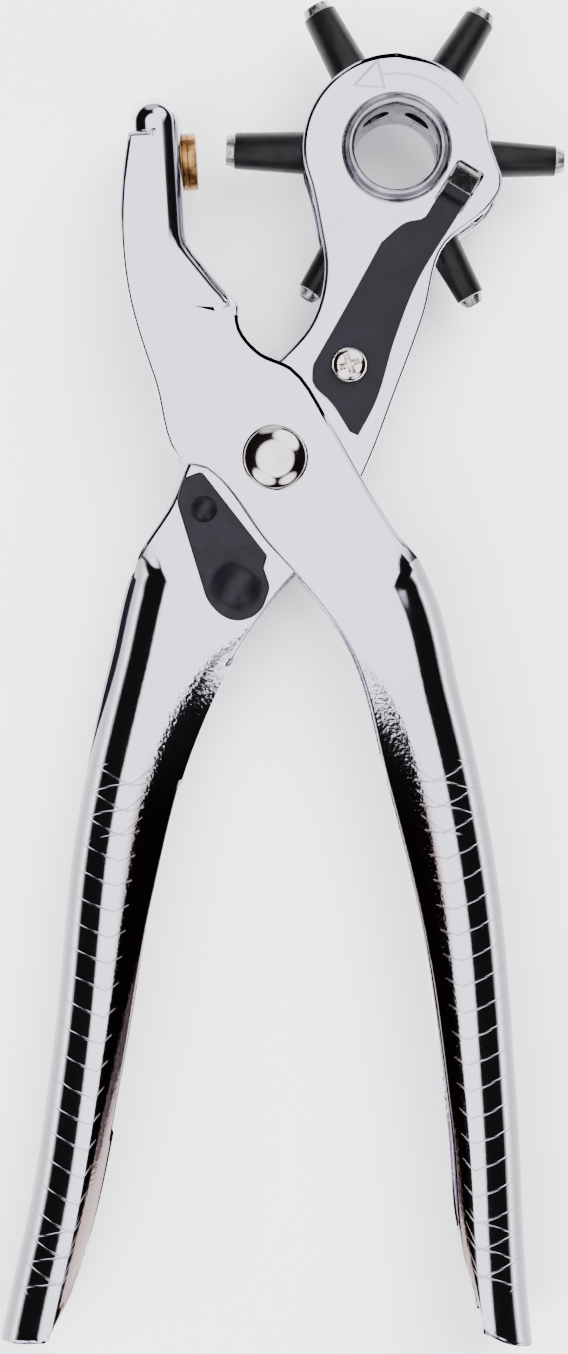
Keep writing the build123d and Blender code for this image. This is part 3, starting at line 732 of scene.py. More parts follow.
def place_on_row(row: Row, column: int) -> tuple[Vector, float]:
    """Where a column of a row lies, and its distance across the sheet from the start of the bend."""
    reach = (row.open - row.spine).length
    bend_start = row.spine + row.inward * row.bend
    angle = math.radians(90) * max(row.fold, 1e-3)
    curl = row.bend / math.sin(angle)
    if column <= COLUMNS.cheek:
        width = (row.open - bend_start).length
        share = column / COLUMNS.cheek
        if row.fold < 1e-3:
            spot = row.open.lerp(row.spine, share * (1 - min(0.5, row.bend / max(reach, 1e-6))))
            return Vector((spot.x, spot.y, row.half)), -reach * (1 - share)
        if reach > row.bend:
            spot = row.open.lerp(bend_start, share)
            fall = row.droop * width * max(0.0, 1 - share)**DROOP_POWER
            return Vector((spot.x, spot.y, row.half - fall)), -width * (1 - share)
        column = COLUMNS.cheek
    first = math.asin(min(1.0, max(0.0, (row.bend - reach) / curl)))
    share = min(1.0, (column - COLUMNS.cheek) / COLUMNS.bend)
    if row.fold < 1e-3:
        start = row.open.lerp(row.spine, 1 - min(0.5, row.bend / max(reach, 1e-6)))
        spot = start.lerp(row.spine, share)
        return Vector((spot.x, spot.y, row.half)), share * row.bend
    a = first + (angle - first) * share
    spot = row.spine + row.inward * (row.bend - curl * math.sin(a))
    height = row.half - curl * (1 - math.cos(a))
    web = max(0, column - COLUMNS.cheek - COLUMNS.bend) / COLUMNS.web
    depth = smooth(row.fold, 0.25, 1.0) * web
    return Vector((spot.x, spot.y, height * (1 - depth))), curl * a + height * depth


def folded_sheet(bm: bmesh.types.BMesh, rows: Sequence[Row]) -> None:
    """Add the front half of a folded sheet to a mesh as a grid of rows and columns, with its UV map."""
    uv = bm.loops.layers.uv.get("sheet") or bm.loops.layers.uv.new("sheet")
    columns = COLUMNS.total
    made = bmesh.ops.create_grid(bm, x_segments=len(rows) - 1, y_segments=columns, size=0.5, calc_uvs=False)
    places = {}
    for vert in made["verts"]:
        row = round((vert.co.x + 0.5) * (len(rows) - 1))
        column = round((vert.co.y + 0.5) * columns)
        spot, across = place_on_row(rows[row], column)
        vert.co = spot
        places[vert] = (rows[row].run * MM, across * MM)
    for face in {face for vert in made["verts"] for face in vert.link_faces}:
        for loop in face.loops:
            loop[uv].uv = places[loop.vert]


def both_halves(bm: bmesh.types.BMesh) -> None:
    """Mirror the front half to the rear, join the web, and turn every face outwards."""
    bmesh.ops.remove_doubles(bm, verts=bm.verts, dist=2e-3)
    bmesh.ops.dissolve_degenerate(bm, edges=bm.edges, dist=1e-3)
    for vert in bm.verts:
        if abs(vert.co.z) < 1e-3:
            vert.co.z = 0.0
    geometry = bm.verts[:] + bm.edges[:] + bm.faces[:]
    bmesh.ops.mirror(bm, geom=geometry, axis="Z", merge_dist=1e-3)
    bmesh.ops.recalc_face_normals(bm, faces=bm.faces)
    top = max(bm.faces, key=lambda face: face.calc_center_median().z * abs(face.normal.z))
    if top.normal.z < 0:
        bmesh.ops.reverse_faces(bm, faces=bm.faces)


def add_thickness(piece: bpy.types.Object, thickness: float) -> None:
    """Give a sheet its wall, inwards from the outer face, with its cut edges in a second set of slots.

    Args:
        piece: the open sheet, facing outwards.
        thickness: the wall, in millimetres.
    """
    finishes = list(piece.data.materials)
    for finish in finishes:
        piece.data.materials.append(finish)
    solid = piece.modifiers.new("wall", "SOLIDIFY")
    solid.thickness = thickness * MM
    solid.offset = -1.0
    solid.use_even_offset = False
    solid.thickness_clamp = 1.0
    solid.use_quality_normals = True
    solid.material_offset_rim = len(finishes)
    apply_modifiers(piece)


def roll_edges(piece: bpy.types.Object, roll: float = SHEET_ROLL) -> None:
    """Roll over the cut edges that add_thickness marked, then drop the second set of slots.

    Args:
        piece: the walled sheet.
        roll: radius of the rolled edges, in millimetres; folds, where the edge runs down, stay square.
    """
    finishes = len(piece.data.materials) // 2
    bm = bmesh.new()
    bm.from_mesh(piece.data)
    level = ROLL_LEVEL * max(vert.co.z for vert in bm.verts)
    edges = [edge for edge in bm.edges
             if len({face.material_index >= finishes for face in edge.link_faces}) == 2
             and min(abs(vert.co.z) for vert in edge.verts) > level]
    bmesh.ops.bevel(bm, geom=edges, offset=roll * MM, segments=4, profile=0.5, affect="EDGES", material=-1)
    for face in bm.faces:
        face.material_index %= finishes
        face.smooth = True
    bm.to_mesh(piece.data)
    bm.free()
    while len(piece.data.materials) > finishes:
        piece.data.materials.pop()
    piece.data.set_sharp_from_angle(angle=math.radians(SHARP))


def even_normals(piece: bpy.types.Object) -> None:
    """Let the big flat faces rule the shading at their rolled edges."""
    weighted = piece.modifiers.new("normals", "WEIGHTED_NORMAL")
    weighted.keep_sharp = True


def inward_from(spine: Sequence[Vector], open_edge: Sequence[Vector]) -> list[Vector]:
    """Unit vectors square to the spine edge that point towards the open edge."""
    found = []
    for i, here in enumerate(spine):
        along = spine[min(i + 1, len(spine) - 1)] - spine[max(i - 1, 0)]
        across = Vector((-along.y, along.x, 0.0)).normalized()
        middle = open_edge[min(len(open_edge) - 1, max(i, 6))]
        found.append(across if across.dot(middle - here) > 0 else -across)
    return found


def spine_runs(spine: Sequence[Vector]) -> list[float]:
    """Distance along the spine edge of each row."""
    runs = [0.0]
    for a, b in zip(spine, spine[1:]):
        runs.append(runs[-1] + (b - a).length)
    return runs


# ------------------------------------------------------------------ the anvil lever
@dataclass
class AnvilLever:
    """The lever with the anvil: a channel handle, two flat cheeks beside the pivot and a channel jaw."""

    jaw_depth: float = 8.5
    jaw_bend: float = 3.9
    handle_bend: float = 8.3
    droop: float = 0.36
    anvil_height: float = 2.4
    anvil_drop: float = 0.9
    anvil_radius: float = 4.75
    anvil_stem: float = 2.2
    closed_gap: float = 0.15
    elbow: float = -14.6
    heel: Point = (7.7, -25.3)
    crease: float = 3.6
    rivet_radius: float = 3.2
    counts: tuple[int, ...] = (16, 64, 16, 14, 22)

    @property
    def seat_angle(self) -> float:
        """Direction that the anvil faces, in degrees from +X."""
        return SIZE.tube_phase + SIZE.closing_angle

    @property
    def anvil_face(self) -> Point:
        """Middle of the anvil's face with the jaws open."""
        shut = turned((SIZE.tube_reach + self.closed_gap, self.anvil_drop), SIZE.tube_phase + 180)
        return turned(shut, SIZE.closing_angle, SIZE.pivot)

    def on_jaw(self, inward: float, up: float) -> Point:
        """A point of the jaw from the middle of the anvil's seat."""
        face = self.anvil_face
        seat = turned((face[0] - self.anvil_height, face[1]), self.seat_angle, face)
        return turned((seat[0] + inward, seat[1] + up), self.seat_angle, seat)

    def edges(self) -> tuple[Edge, Edge]:
        """The open edge and the spine edge, both from the handle's end to the jaw."""
        open_edge = Edge((
            down_handle(42.6, 0.996), down_handle(39.2, 0.988), down_handle(35.1, 0.954),
            down_handle(32.5, 0.909), down_handle(29.4, 0.726), down_handle(24.9, 0.483),
            down_handle(18.5, 0.280), down_handle(11.6, 0.104), ahead(2.8, -18.6), ahead(-1.2, -14.2),
            ahead(-10.6, -2.3), ahead(-11.4, -1.7), ahead(-14.4, -1.1), ahead(-20.1, 12.9),
            ahead(-24.5, 27.8), self.on_jaw(-self.jaw_depth - 2.2, -13.0),
            self.on_jaw(-self.jaw_depth - 1.4, -4.0), self.on_jaw(-self.jaw_depth, self.crease),
        ), (0, 3, 8, 12, 14, 17))
        spine_edge = Edge((
            down_handle(43.3, 0.998), down_handle(42.6, 0.948), down_handle(40.7, 0.692),
            down_handle(37.0, 0.384), down_handle(31.4, 0.18), down_handle(23.6, 0.0), ahead(21.0, -13.6),
            ahead(16.9, -7.7), ahead(9.1, 5.7), ahead(2.7, 14.9), ahead(-2.7, 17.5), ahead(-5.7, 21.1),
            self.on_jaw(*self.heel), self.on_jaw(1.2, self.elbow - 1.7), self.on_jaw(0.3, self.elbow - 0.2),
            self.on_jaw(0.0, self.elbow + 1.5), self.on_jaw(0, self.crease),
        ), (0, 1, 5, 9, 12, 16), (12, 13, 15))
        return open_edge, spine_edge

    def rows(self) -> list[Row]:
        """Every cut across the lever, from the handle's end to the jaw's cap."""
        open_edge, spine_edge = self.edges()
        left = open_edge.rows(self.counts)
        right = spine_edge.rows(self.counts)
        runs = spine_runs(right)
        inward = inward_from(right, left)
        shoulder = runs[sum(self.counts[:2])]
        web_start = runs[sum(self.counts[:4])]
        found = []
        for here, there, normal, run in zip(left, right, inward, runs):
            in_jaw = run > (shoulder + web_start) / 2
            bend = self.jaw_bend if in_jaw else self.handle_bend
            fold = smooth(run, web_start - 0.3, web_start + 2.4)
            share = handle_share(there.y)
            if not in_jaw:
                fold = smooth(run, shoulder + FOLD_START, shoulder + FOLD_END)
            droop = 0.0 if in_jaw else self.droop * smooth(share, 0.05, 0.28)
            place = shoulder - run - RUN_ORIGIN
            found.append(Row(here, there, normal, SIZE.anvil_out, bend, fold, droop, place))
        return found

    def cap_rows(self) -> list[Row]:
        """Cuts that fan round the jaw's closed top, down to the crease on its open side."""
        depth, top = self.jaw_depth, self.crease + 2.0
        middle = depth / 2
        outline = [(0.0, self.crease), (0.0, self.crease + 1.0)]
        outline += [(-middle + middle * math.cos(math.radians(a)), top + middle * math.sin(math.radians(a)))
                    for a in range(0, 181, 15)]
        outline += [(-depth, self.crease + 1.0), (-depth, self.crease)]
        points = [self.on_jaw(*p) for p in outline]
        path = Edge(points, (0, len(points) - 1)).rows((40,))
        hub = self.on_jaw(-depth + self.jaw_bend + 0.3, self.crease)
        centre = Vector((*hub, 0.0))
        inward = inward_from(path, [Vector((*self.on_jaw(-middle, top), 0.0))] * len(path))
        return [Row(centre, spot, normal, SIZE.anvil_out, self.jaw_bend, 1.0, 0.0, 500.0)
                for spot, normal in zip(path, inward)]

    def build(self) -> bpy.types.Object:
        """The lever's sheet, folded, thickened, pierced and with its edges broken."""
        bm = bmesh.new()
        folded_sheet(bm, self.rows())
        folded_sheet(bm, self.cap_rows())
        both_halves(bm)
        piece = finish_mesh("anvil_lever_shell", bm, (LEVER_CHROME,), outward=False)
        add_thickness(piece, SIZE.sheet)
        hole = moved(bar(self.rivet_radius, -THROUGH, THROUGH), *SIZE.pivot)
        stem = moved(bar(self.anvil_stem, -self.anvil_height - SIZE.sheet - 3, 0), *self.anvil_face, 0.0,
                     self.seat_angle, 90)
        cutters = [finish_mesh("rivet_hole", hole, ()), finish_mesh("stem_hole", stem, ())]
        cut(piece, cutters)
        roll_edges(piece)
        even_normals(piece)
        return piece

    def anvil(self) -> bpy.types.Object:
        """The brass pad, its stem and the spread end inside the jaw."""
        back = -self.anvil_height - SIZE.sheet
        r = self.anvil_radius
        profile = [(0, 0), (r - 0.3, 0), (r - 0.08, -0.08), (r, -0.3), (r, -1.35), (r - 0.1, -1.45),
                   (r, -1.55), (r, -self.anvil_height + 0.15), (r - 0.15, -self.anvil_height),
                   (self.anvil_stem, -self.anvil_height), (self.anvil_stem, back), (2.9, back),
                   (2.9, back - 0.6), (2.5, back - 0.9), (0, back - 0.9)]
        bm = moved(spun(profile, 96, closed=False), *self.anvil_face, 0.0, self.seat_angle, 90)
        return finish_mesh("brass_anvil", bm, (BRASS,))


# ------------------------------------------------------------------ the punch lever
@dataclass
class PunchLever:
    """The lever that holds the turret: a channel handle, a narrow neck and a round head with a lobe."""

    bend: float = 8.3
    flare: float = 1.5
    droop: float = 0.36
    lobe_radius: float = 5.2
    pivot_hole: float = 4.45
    bush_radius: float = 3.4
    counts: tuple[int, ...] = (16, 66, 12, 34, 40)

    @property
    def lobe(self) -> Point:
        """Centre of the bulge round the index slot."""
        return on_leaf(SIZE.notch_run + 2.5, -1.0)

    def edges(self) -> tuple[Edge, Edge]:
        """The open edge and the spine edge, both from the handle's end to the top of the head."""
        head = SIZE.head_radius
        lobe = self.lobe
        lobe_points = [turned((lobe[0] + self.lobe_radius, lobe[1]), a, lobe) for a in (-45, -18, 8, 30)]
        head_right = [turned((head, 0), a) for a in range(3, 91, 15)]
        head_right[-1] = turned((head, 0), 89)
        head_left = [turned((head, 0), a) for a in (203, 190, 175, 160, 145, 130, 115, 102, 91)]
        open_edge = Edge((
            down_handle(-45.6, 0.990), down_handle(-42.5, 0.986), down_handle(-38.2, 0.972),
            down_handle(-34.4, 0.937), down_handle(-32.0, 0.883), down_handle(-25.6, 0.657),
            down_handle(-20.3, 0.431), down_handle(-13.8, 0.242), down_handle(-7.0, 0.129),
            down_handle(2.8, 0.024), ahead(7.5, -15.0), ahead(11.5, -9.0), beside_neck(0.90, -14.8),
            beside_neck(0.69, -14.7), beside_neck(0.43, -14.4), beside_neck(0.228, -13.2),
            *lobe_points, *head_right,
        ), (0, 4, 9, 11, 16, 15 + len(lobe_points) + len(head_right)))
        spine_edge = Edge((
            down_handle(-46.2, 0.992), down_handle(-45.0, 0.948), down_handle(-41.3, 0.820),
            down_handle(-37.4, 0.616), down_handle(-33.4, 0.334), down_handle(-27.4, 0.128),
            ahead(-22.9, -SIZE.shoulder_drop), ahead(-16.9, -6.8), ahead(-14.5, -0.8),
            beside_neck(0.865, 10.2), beside_neck(0.71, 5.1), beside_neck(0.586, 2.65),
            beside_neck(0.41, 3.9), beside_neck(0.30, 7.4), *head_left,
        ), (0, 1, 6, 8, 14, 13 + len(head_left)))
        return open_edge, spine_edge

    def rows(self) -> list[Row]:
        """Every cut across the lever, from the handle's end to the top of the head."""
        open_edge, spine_edge = self.edges()
        right = open_edge.rows(self.counts)
        left = spine_edge.rows(self.counts)
        runs = spine_runs(left)
        inward = inward_from(left, right)
        shoulder = runs[sum(self.counts[:2])]
        found = []
        for here, there, normal, run in zip(right, left, inward, runs):
            share = handle_share(there.y)
            half = SIZE.punch_out + self.flare * smooth(share, 0.13, 0.32)
            fold = smooth(run, shoulder + FOLD_START, shoulder + FOLD_END)
            droop = self.droop * smooth(share, 0.03, 0.26)
            found.append(Row(here, there, normal, half, self.bend, fold, droop, shoulder - run - RUN_ORIGIN))
        return found

    def cutters(self) -> list[bpy.types.Object]:
        """The hub hole, pivot hole, index slot and the holes for screw and latch rivet."""
        slot = bmesh.new()
        bmesh.ops.create_cube(slot, size=1.0)
        bmesh.ops.scale(slot, vec=(8.2, 5.2, 6.0), verts=slot.verts)
        uprights = [edge for edge in slot.edges if abs(edge.verts[0].co.z - edge.verts[1].co.z) > 1]
        bmesh.ops.bevel(slot, geom=uprights, offset=0.7, segments=4, profile=0.5, affect="EDGES", material=-1)
        moved(slot, *on_leaf(SIZE.notch_run + 0.5, 0), SIZE.punch_out, SIZE.leaf_angle)
        return [
            finish_mesh("hub_hole", bar(SIZE.hub_seat, -THROUGH, THROUGH, 96), ()),
            finish_mesh("pivot_hole", moved(bar(self.pivot_hole, -THROUGH, THROUGH), *SIZE.pivot), ()),
            finish_mesh("index_slot", slot, ()),
            finish_mesh("screw_hole", moved(bar(1.9, 0, THROUGH), *SIZE.screw), ()),
            finish_mesh("bush_hole", moved(bar(self.bush_radius - 1, -THROUGH, -1), *SIZE.screw), ()),
            finish_mesh("latch_hole", moved(bar(1.6, 0, THROUGH), *ahead(*SIZE.latch_offset)), ()),
        ]

    def build(self) -> bpy.types.Object:
        """The lever's sheet, folded, thickened, pierced and with its edges broken."""
        bm = bmesh.new()
        folded_sheet(bm, self.rows())
        both_halves(bm)
        piece = finish_mesh("punch_lever_shell", bm, (HEAD_CHROME,), outward=False)
        add_thickness(piece, SIZE.sheet)
        cut(piece, self.cutters())
        roll_edges(piece)
        even_normals(piece)
        return piece


# ------------------------------------------------------------------ hub and turret
@dataclass
class Turret:
    """The drum, its six tubes and the two bushes it turns on."""

    holes: tuple[float, ...] = (4.5, 4.0, 3.5, 3.0, 2.5, 2.0)
    notch_depth: float = 1.6
    collar: float = 15.2
    shank_start: float = 9.5

    def tube_angle(self, index: int) -> float:
        """Angle of a tube from +X; the first stands at the anvil and the rest follow clockwise."""
        return SIZE.tube_phase + 180 - 60 * index

    def sizes(self, hole: float) -> tuple[float, float]:
        """Base and tip radius of the tube that cuts a hole of this diameter."""
        return 2.3 + 0.27 * hole, 1.17 + 0.34 * hole

    def drum(self) -> bpy.types.Object:
        """The drum with its sockets, plug ways and index notches."""
        outer, inner, half = SIZE.drum_radius, SIZE.hub_bore + 0.2, SIZE.drum_half
        seat, step = 8.15, half - 1.8
        profile = [(inner, -step), (seat, -step), (seat, -half), (outer - 0.5, -half), (outer, -half + 0.5),
                   (outer, half - 0.5), (outer - 0.5, half), (seat, half), (seat, step), (inner, step)]
        piece = finish_mesh("turret_drum_body", spun(profile, 144), (DRUM_PLATE,))
        cutters = []
        notch_at = on_leaf(SIZE.notch_run, 0)
        notch_angle = math.degrees(math.atan2(notch_at[1], notch_at[0]))
        for index, hole in enumerate(self.holes):
            base, _ = self.sizes(hole)
            turn = self.tube_angle(index)
            socket = moved(bar(base - 0.35, self.shank_start, THROUGH, 40), 0, 0, 0, turn, 90)
            way = moved(bar(base - 0.85, 0, self.shank_start + 1, 40), 0, 0, 0, turn, 90)
            notch = bmesh.new()
            bmesh.ops.create_cube(notch, size=1.0)
            bmesh.ops.scale(notch, vec=(10.0, 4.4, 2 * self.notch_depth), verts=notch.verts)
            floor = [vert for vert in notch.verts if vert.co.z < 0]
            bmesh.ops.scale(notch, vec=(1.0, 0.5, 1.0), verts=floor)
            moved(notch, *turned((9.8 + 5.0, 0), notch_angle + 60 * index), half, notch_angle + 60 * index)
            tools = {"socket": socket, "way": way, "notch": notch}
            cutters += [finish_mesh(name, shape, ()) for name, shape in tools.items()]
        cut(piece, cutters)
        add_bevel(piece, 0.12)
        return piece

    def tube(self, index: int) -> bpy.types.Object:
        """One blackened tube with its ground cutting edge."""
        hole = self.holes[index]
        base, tip = self.sizes(hole)
        bore, reach, collar = hole / 2, SIZE.tube_reach, self.collar
        shoulder = reach - 1.45
        profile = [(bore + 0.15, self.shank_start), (base - 0.35, self.shank_start), (base - 0.35, collar),
                   (base - 0.1, collar), (base, collar + 0.15), (base, collar + 0.9),
                   (tip + 0.34, shoulder - 0.12), (tip + 0.26, shoulder), (tip - 0.02, shoulder + 0.12),
                   (tip - 0.08, shoulder + 0.5), (bore + 0.2, reach), (bore, reach - 0.1), (bore, shoulder),
                   (bore + 0.15, shoulder - 3)]
        bm = spun(profile, 56)
        for face in bm.faces:
            face.material_index = 1 if face.calc_center_median().z > shoulder + 0.02 else 0
        moved(bm, 0, 0, 0, self.tube_angle(index), 90)
        return finish_mesh(f"punch_tube_{hole * 10:.0f}_turned", bm, (OXIDE, GROUND))

    def bush(self, side: int) -> bpy.types.Object:
        """A flanged bush, stepped and grooved on its face; side is 1 in front and -1 behind."""
        bore, barrel, flange = SIZE.hub_bore, SIZE.hub_seat, 9.2
        low, sheet_top, top = SIZE.drum_half - 1.7, SIZE.punch_out, SIZE.punch_out + 1.4
        profile = [(bore, low), (barrel, low), (barrel, sheet_top), (flange, sheet_top),
                   (flange, top - 0.75), (flange - 0.08, top - 0.5), (flange - 0.25, top - 0.25),
                   (flange - 0.55, top - 0.1), (flange - 0.8, top - 0.28), (flange - 0.95, top - 0.42),
                   (flange - 1.1, top - 0.12), (flange - 1.25, top), (bore + 0.5, top),
                   (bore + 0.18, top - 0.1), (bore, top - 0.35)]
        bm = spun(profile, 128)
        if side < 0:
            bmesh.ops.scale(bm, vec=(1, 1, -1), verts=bm.verts)
        name = "hub_bush_front_ring" if side > 0 else "hub_bush_rear_ring"
        return finish_mesh(name, bm, (HUB_SATIN,), sharp=50)


# ------------------------------------------------------------------ index spring and its screw
@dataclass
class IndexSpring:
    """The blackened leaf, its cross-recessed screw and the pillar behind it."""

    thickness: float = 0.9
    tip_half: float = 2.2
    head_radius: float = 3.1
    head_height: float = 1.9
    shank: float = 1.9
    bush: float = 3.4
    counts: tuple[int, ...] = (10, 26, 12, 30)

    def height(self, along: float) -> float:
        """Underside of the leaf: flat on the cheek, down into the notch, and up at the lip."""
        run = SIZE.notch_run
        low = SIZE.drum_half - 1.6 + 0.25
        down = smooth(along, run - 3.1, run - 0.7)
        up = smooth(along, run + 0.6, run + 3.7)
        return SIZE.punch_out * (1 - down) + low * down + (SIZE.punch_out + 0.8 - low) * up

    def leaf(self) -> bpy.types.Object:
        """The leaf as a sheet between two edges, bent at its tip."""
        run, half = SIZE.notch_run, self.tip_half
        left = Edge([(-9.2, -5.8), (-6.8, -0.8), (-5.4, 3.9), (-3.0, 5.2), (8.3, 5.6), (run - 14.2, 6.2),
                     (run - 9.2, 4.4), (run - 6.8, half), (run - 5.0, half), (run + 3.7, half)],
                    (0, 3, 5, 8, 9), (3, 5)).rows(self.counts)
        right = Edge([(-9.0, -7.3), (-3.6, -7.0), (7.9, -4.1), (run - 16.6, -half - 0.1), (run - 5.0, -half),
                      (run + 3.7, -half)], (0, 1, 3, 4, 5)).rows(self.counts)
        columns = 8
        bm = bmesh.new()
        made = bmesh.ops.create_grid(bm, x_segments=len(left) - 1, y_segments=columns, size=0.5)
        for vert in made["verts"]:
            row = round((vert.co.x + 0.5) * (len(left) - 1))
            share = vert.co.y + 0.5
            spot = left[row].lerp(right[row], share)
            x, y = on_leaf(spot.x, spot.y)
            vert.co = Vector((x, y, self.height(spot.x) + self.thickness))
            vert.index = row
        for face in bm.faces:
            middle = face.calc_center_median()
            along = turned((middle.x - SIZE.screw[0], middle.y - SIZE.screw[1]), -SIZE.leaf_angle)[0]
            face.material_index = 1 if along > run + 0.9 else 0
        bmesh.ops.recalc_face_normals(bm, faces=bm.faces)
        if bm.faces[:][0].normal.z < 0:
            bmesh.ops.reverse_faces(bm, faces=bm.faces)
        piece = finish_mesh("index_leaf", bm, (BLACKENED, GROUND), outward=False)
        add_thickness(piece, self.thickness)
        cut(piece, [finish_mesh("leaf_hole", moved(bar(self.shank, 0, THROUGH), *SIZE.screw), ())])
        roll_edges(piece, 0.12)
        return piece

    def screw(self) -> bpy.types.Object:
        """A pan head with a cross recess on a plain shank."""
        base = SIZE.punch_out + self.thickness
        top = base + self.head_height
        r = self.head_radius
        profile = [(0, top), (r - 1.3, top), (r - 0.75, top - 0.14), (r - 0.3, top - 0.5),
                   (r - 0.06, top - 1.0), (r, top - 1.4), (r, base + 0.12), (r - 0.12, base),
                   (self.shank, base), (self.shank, 0.4), (0, 0.4)]
        shape = moved(spun(profile, 72, closed=False), *SIZE.screw)
        piece = finish_mesh("index_screw_head", shape, (NICKEL,))
        blades = []
        for turn in (20, 110):
            blade = bmesh.new()
            bmesh.ops.create_cube(blade, size=1.0)
            bmesh.ops.scale(blade, vec=(5.4, 1.9, 2.6), verts=blade.verts)
            foot = [vert for vert in blade.verts if vert.co.z < 0]
            bmesh.ops.scale(blade, vec=(0.3, 0.12, 1.0), verts=foot)
            blades.append(finish_mesh("blade", moved(blade, *SIZE.screw, top, turn), ()))
        cut(piece, blades)
        add_bevel(piece, 0.1)
        return piece

    def pillar(self) -> bpy.types.Object:
        """The threaded pillar between the cheeks, riveted behind."""
        x, y = SIZE.screw
        rear = [(radius, -height) for radius, height in reversed(dome(self.bush, 0.9, SIZE.punch_out, 8))]
        profile = [(self.shank, -0.5), (self.shank, SIZE.punch_in), (self.bush - 0.2, SIZE.punch_in),
                   (self.bush, SIZE.punch_in - 0.2), (self.bush, -SIZE.punch_in),
                   (self.bush - 1, -SIZE.punch_in), (self.bush - 1, -SIZE.punch_out), *rear, (0, -0.5)]
        return finish_mesh("index_pillar", moved(spun(profile, 64, closed=False), x, y), (ZINC,))


# ------------------------------------------------------------------ latch
@dataclass
class Latch:
    """The blackened thumb latch with its domed boss, rivet and washer."""

    thickness: float = 1.5
    boss_radius: float = 4.0
    boss_height: float = 1.6
    boss_offset: Point = (-6.4, -21.4)
    rivet_radius: float = 1.6
    rivet_head: float = 2.2
    corners: tuple[tuple[float, float, float], ...] = (
        (-12.2, -2.2, 0.9), (-15.4, -3.4, 1.8), (-16.3, -7.4, 2.5), (-10.9, -25.1, 6.5), (-6.6, -27.3, 4.0),
        (-2.4, -26.0, 4.0), (-0.8, -21.4, 2.6), (-1.9, -18.2, 0.8), (-1.3, -16.2, 0.5),
    )

    @property
    def low(self) -> float:
        """Underside of the plate."""
        return SIZE.punch_out + SIZE.gap

    def plate(self) -> bpy.types.Object:
        """The plate with rounded corners, a rolled top edge and the pressed boss."""
        bm = bmesh.new()
        verts = [bm.verts.new((*ahead(x, y), self.low)) for x, y, _ in self.corners]
        bm.faces.new(verts)
        for vert, (_, _, radius) in zip(verts, self.corners):
            pair = [edge.other_vert(vert).co - vert.co for edge in vert.link_edges]
            offset = radius * math.tan((math.pi - pair[0].angle(pair[1])) / 2)
            bmesh.ops.bevel(bm, geom=[vert], offset=offset, segments=8, profile=0.5, affect="VERTICES",
                            material=-1)
        made = bmesh.ops.extrude_face_region(bm, geom=bm.faces[:])
        top = [item for item in made["geom"] if isinstance(item, bmesh.types.BMVert)]
        bmesh.ops.translate(bm, vec=(0, 0, self.thickness), verts=top)
        bmesh.ops.recalc_face_normals(bm, faces=bm.faces)
        rim = [edge for edge in bm.edges if all(vert.co.z > self.low + 1 for vert in edge.verts)]
        bmesh.ops.bevel(bm, geom=rim, offset=0.35, segments=3, profile=0.5, affect="EDGES", material=-1)
        high = self.low + self.thickness
        skirt = [(self.boss_radius + 0.9, high - 0.02), (self.boss_radius + 0.4, high + 0.05)]
        crown = [point for point in reversed(dome(self.boss_radius, self.boss_height, high, 12))
                 if point[1] > high + 0.16]
        boss = moved(spun([*skirt, *crown], 72, closed=False), *ahead(*self.boss_offset))
        piece = finish_mesh("latch_plate_pressed", bm, (LATCH_BLACK,))
        bore = moved(bar(self.rivet_radius + 0.05, 0, THROUGH), *ahead(*SIZE.latch_offset))
        cut(piece, [finish_mesh("latch_bore", bore, ())])
        joined = bmesh.new()
        joined.from_mesh(piece.data)
        bmesh.ops.scale(boss, vec=(MM, MM, MM), verts=boss.verts)
        bmesh.ops.recalc_face_normals(boss, faces=boss.faces)
        if sum(face.normal.z for face in boss.faces) < 0:
            bmesh.ops.reverse_faces(boss, faces=boss.faces)
        shell = bpy.data.meshes.new("boss")
        boss.to_mesh(shell)
        boss.free()
        shell.shade_smooth()
        joined.from_mesh(shell)
        joined.to_mesh(piece.data)
        joined.free()
        bpy.data.meshes.remove(shell)
        even_normals(piece)
        return piece

    def rivet(self) -> bpy.types.Object:
        """The domed rivet through the plate and the front cheek."""
        high = self.low + self.thickness + 0.05
        profile = [*dome(self.rivet_head, 1.0, high, 8), (self.rivet_radius, high),
                   (self.rivet_radius, SIZE.punch_in), (self.rivet_head, SIZE.punch_in),
                   (self.rivet_head - 0.2, SIZE.punch_in - 0.8), (0, SIZE.punch_in - 0.8)]
        shape = moved(spun(profile, 48, closed=False), *ahead(*SIZE.latch_offset))
        return finish_mesh("latch_rivet_domed", shape, (LATCH_BLACK,))

    def washer(self) -> bpy.types.Object:
        """The thin wave washer under the plate."""
        profile = [(1.6, SIZE.punch_out), (3.15, SIZE.punch_out), (3.2, SIZE.punch_out + 0.05),
                   (3.2, self.low - 0.1), (3.15, self.low - 0.05), (1.6, self.low - 0.05)]
        return finish_mesh("latch_wave_washer", moved(spun(profile, 48), *ahead(*SIZE.latch_offset)), (WIRE,))


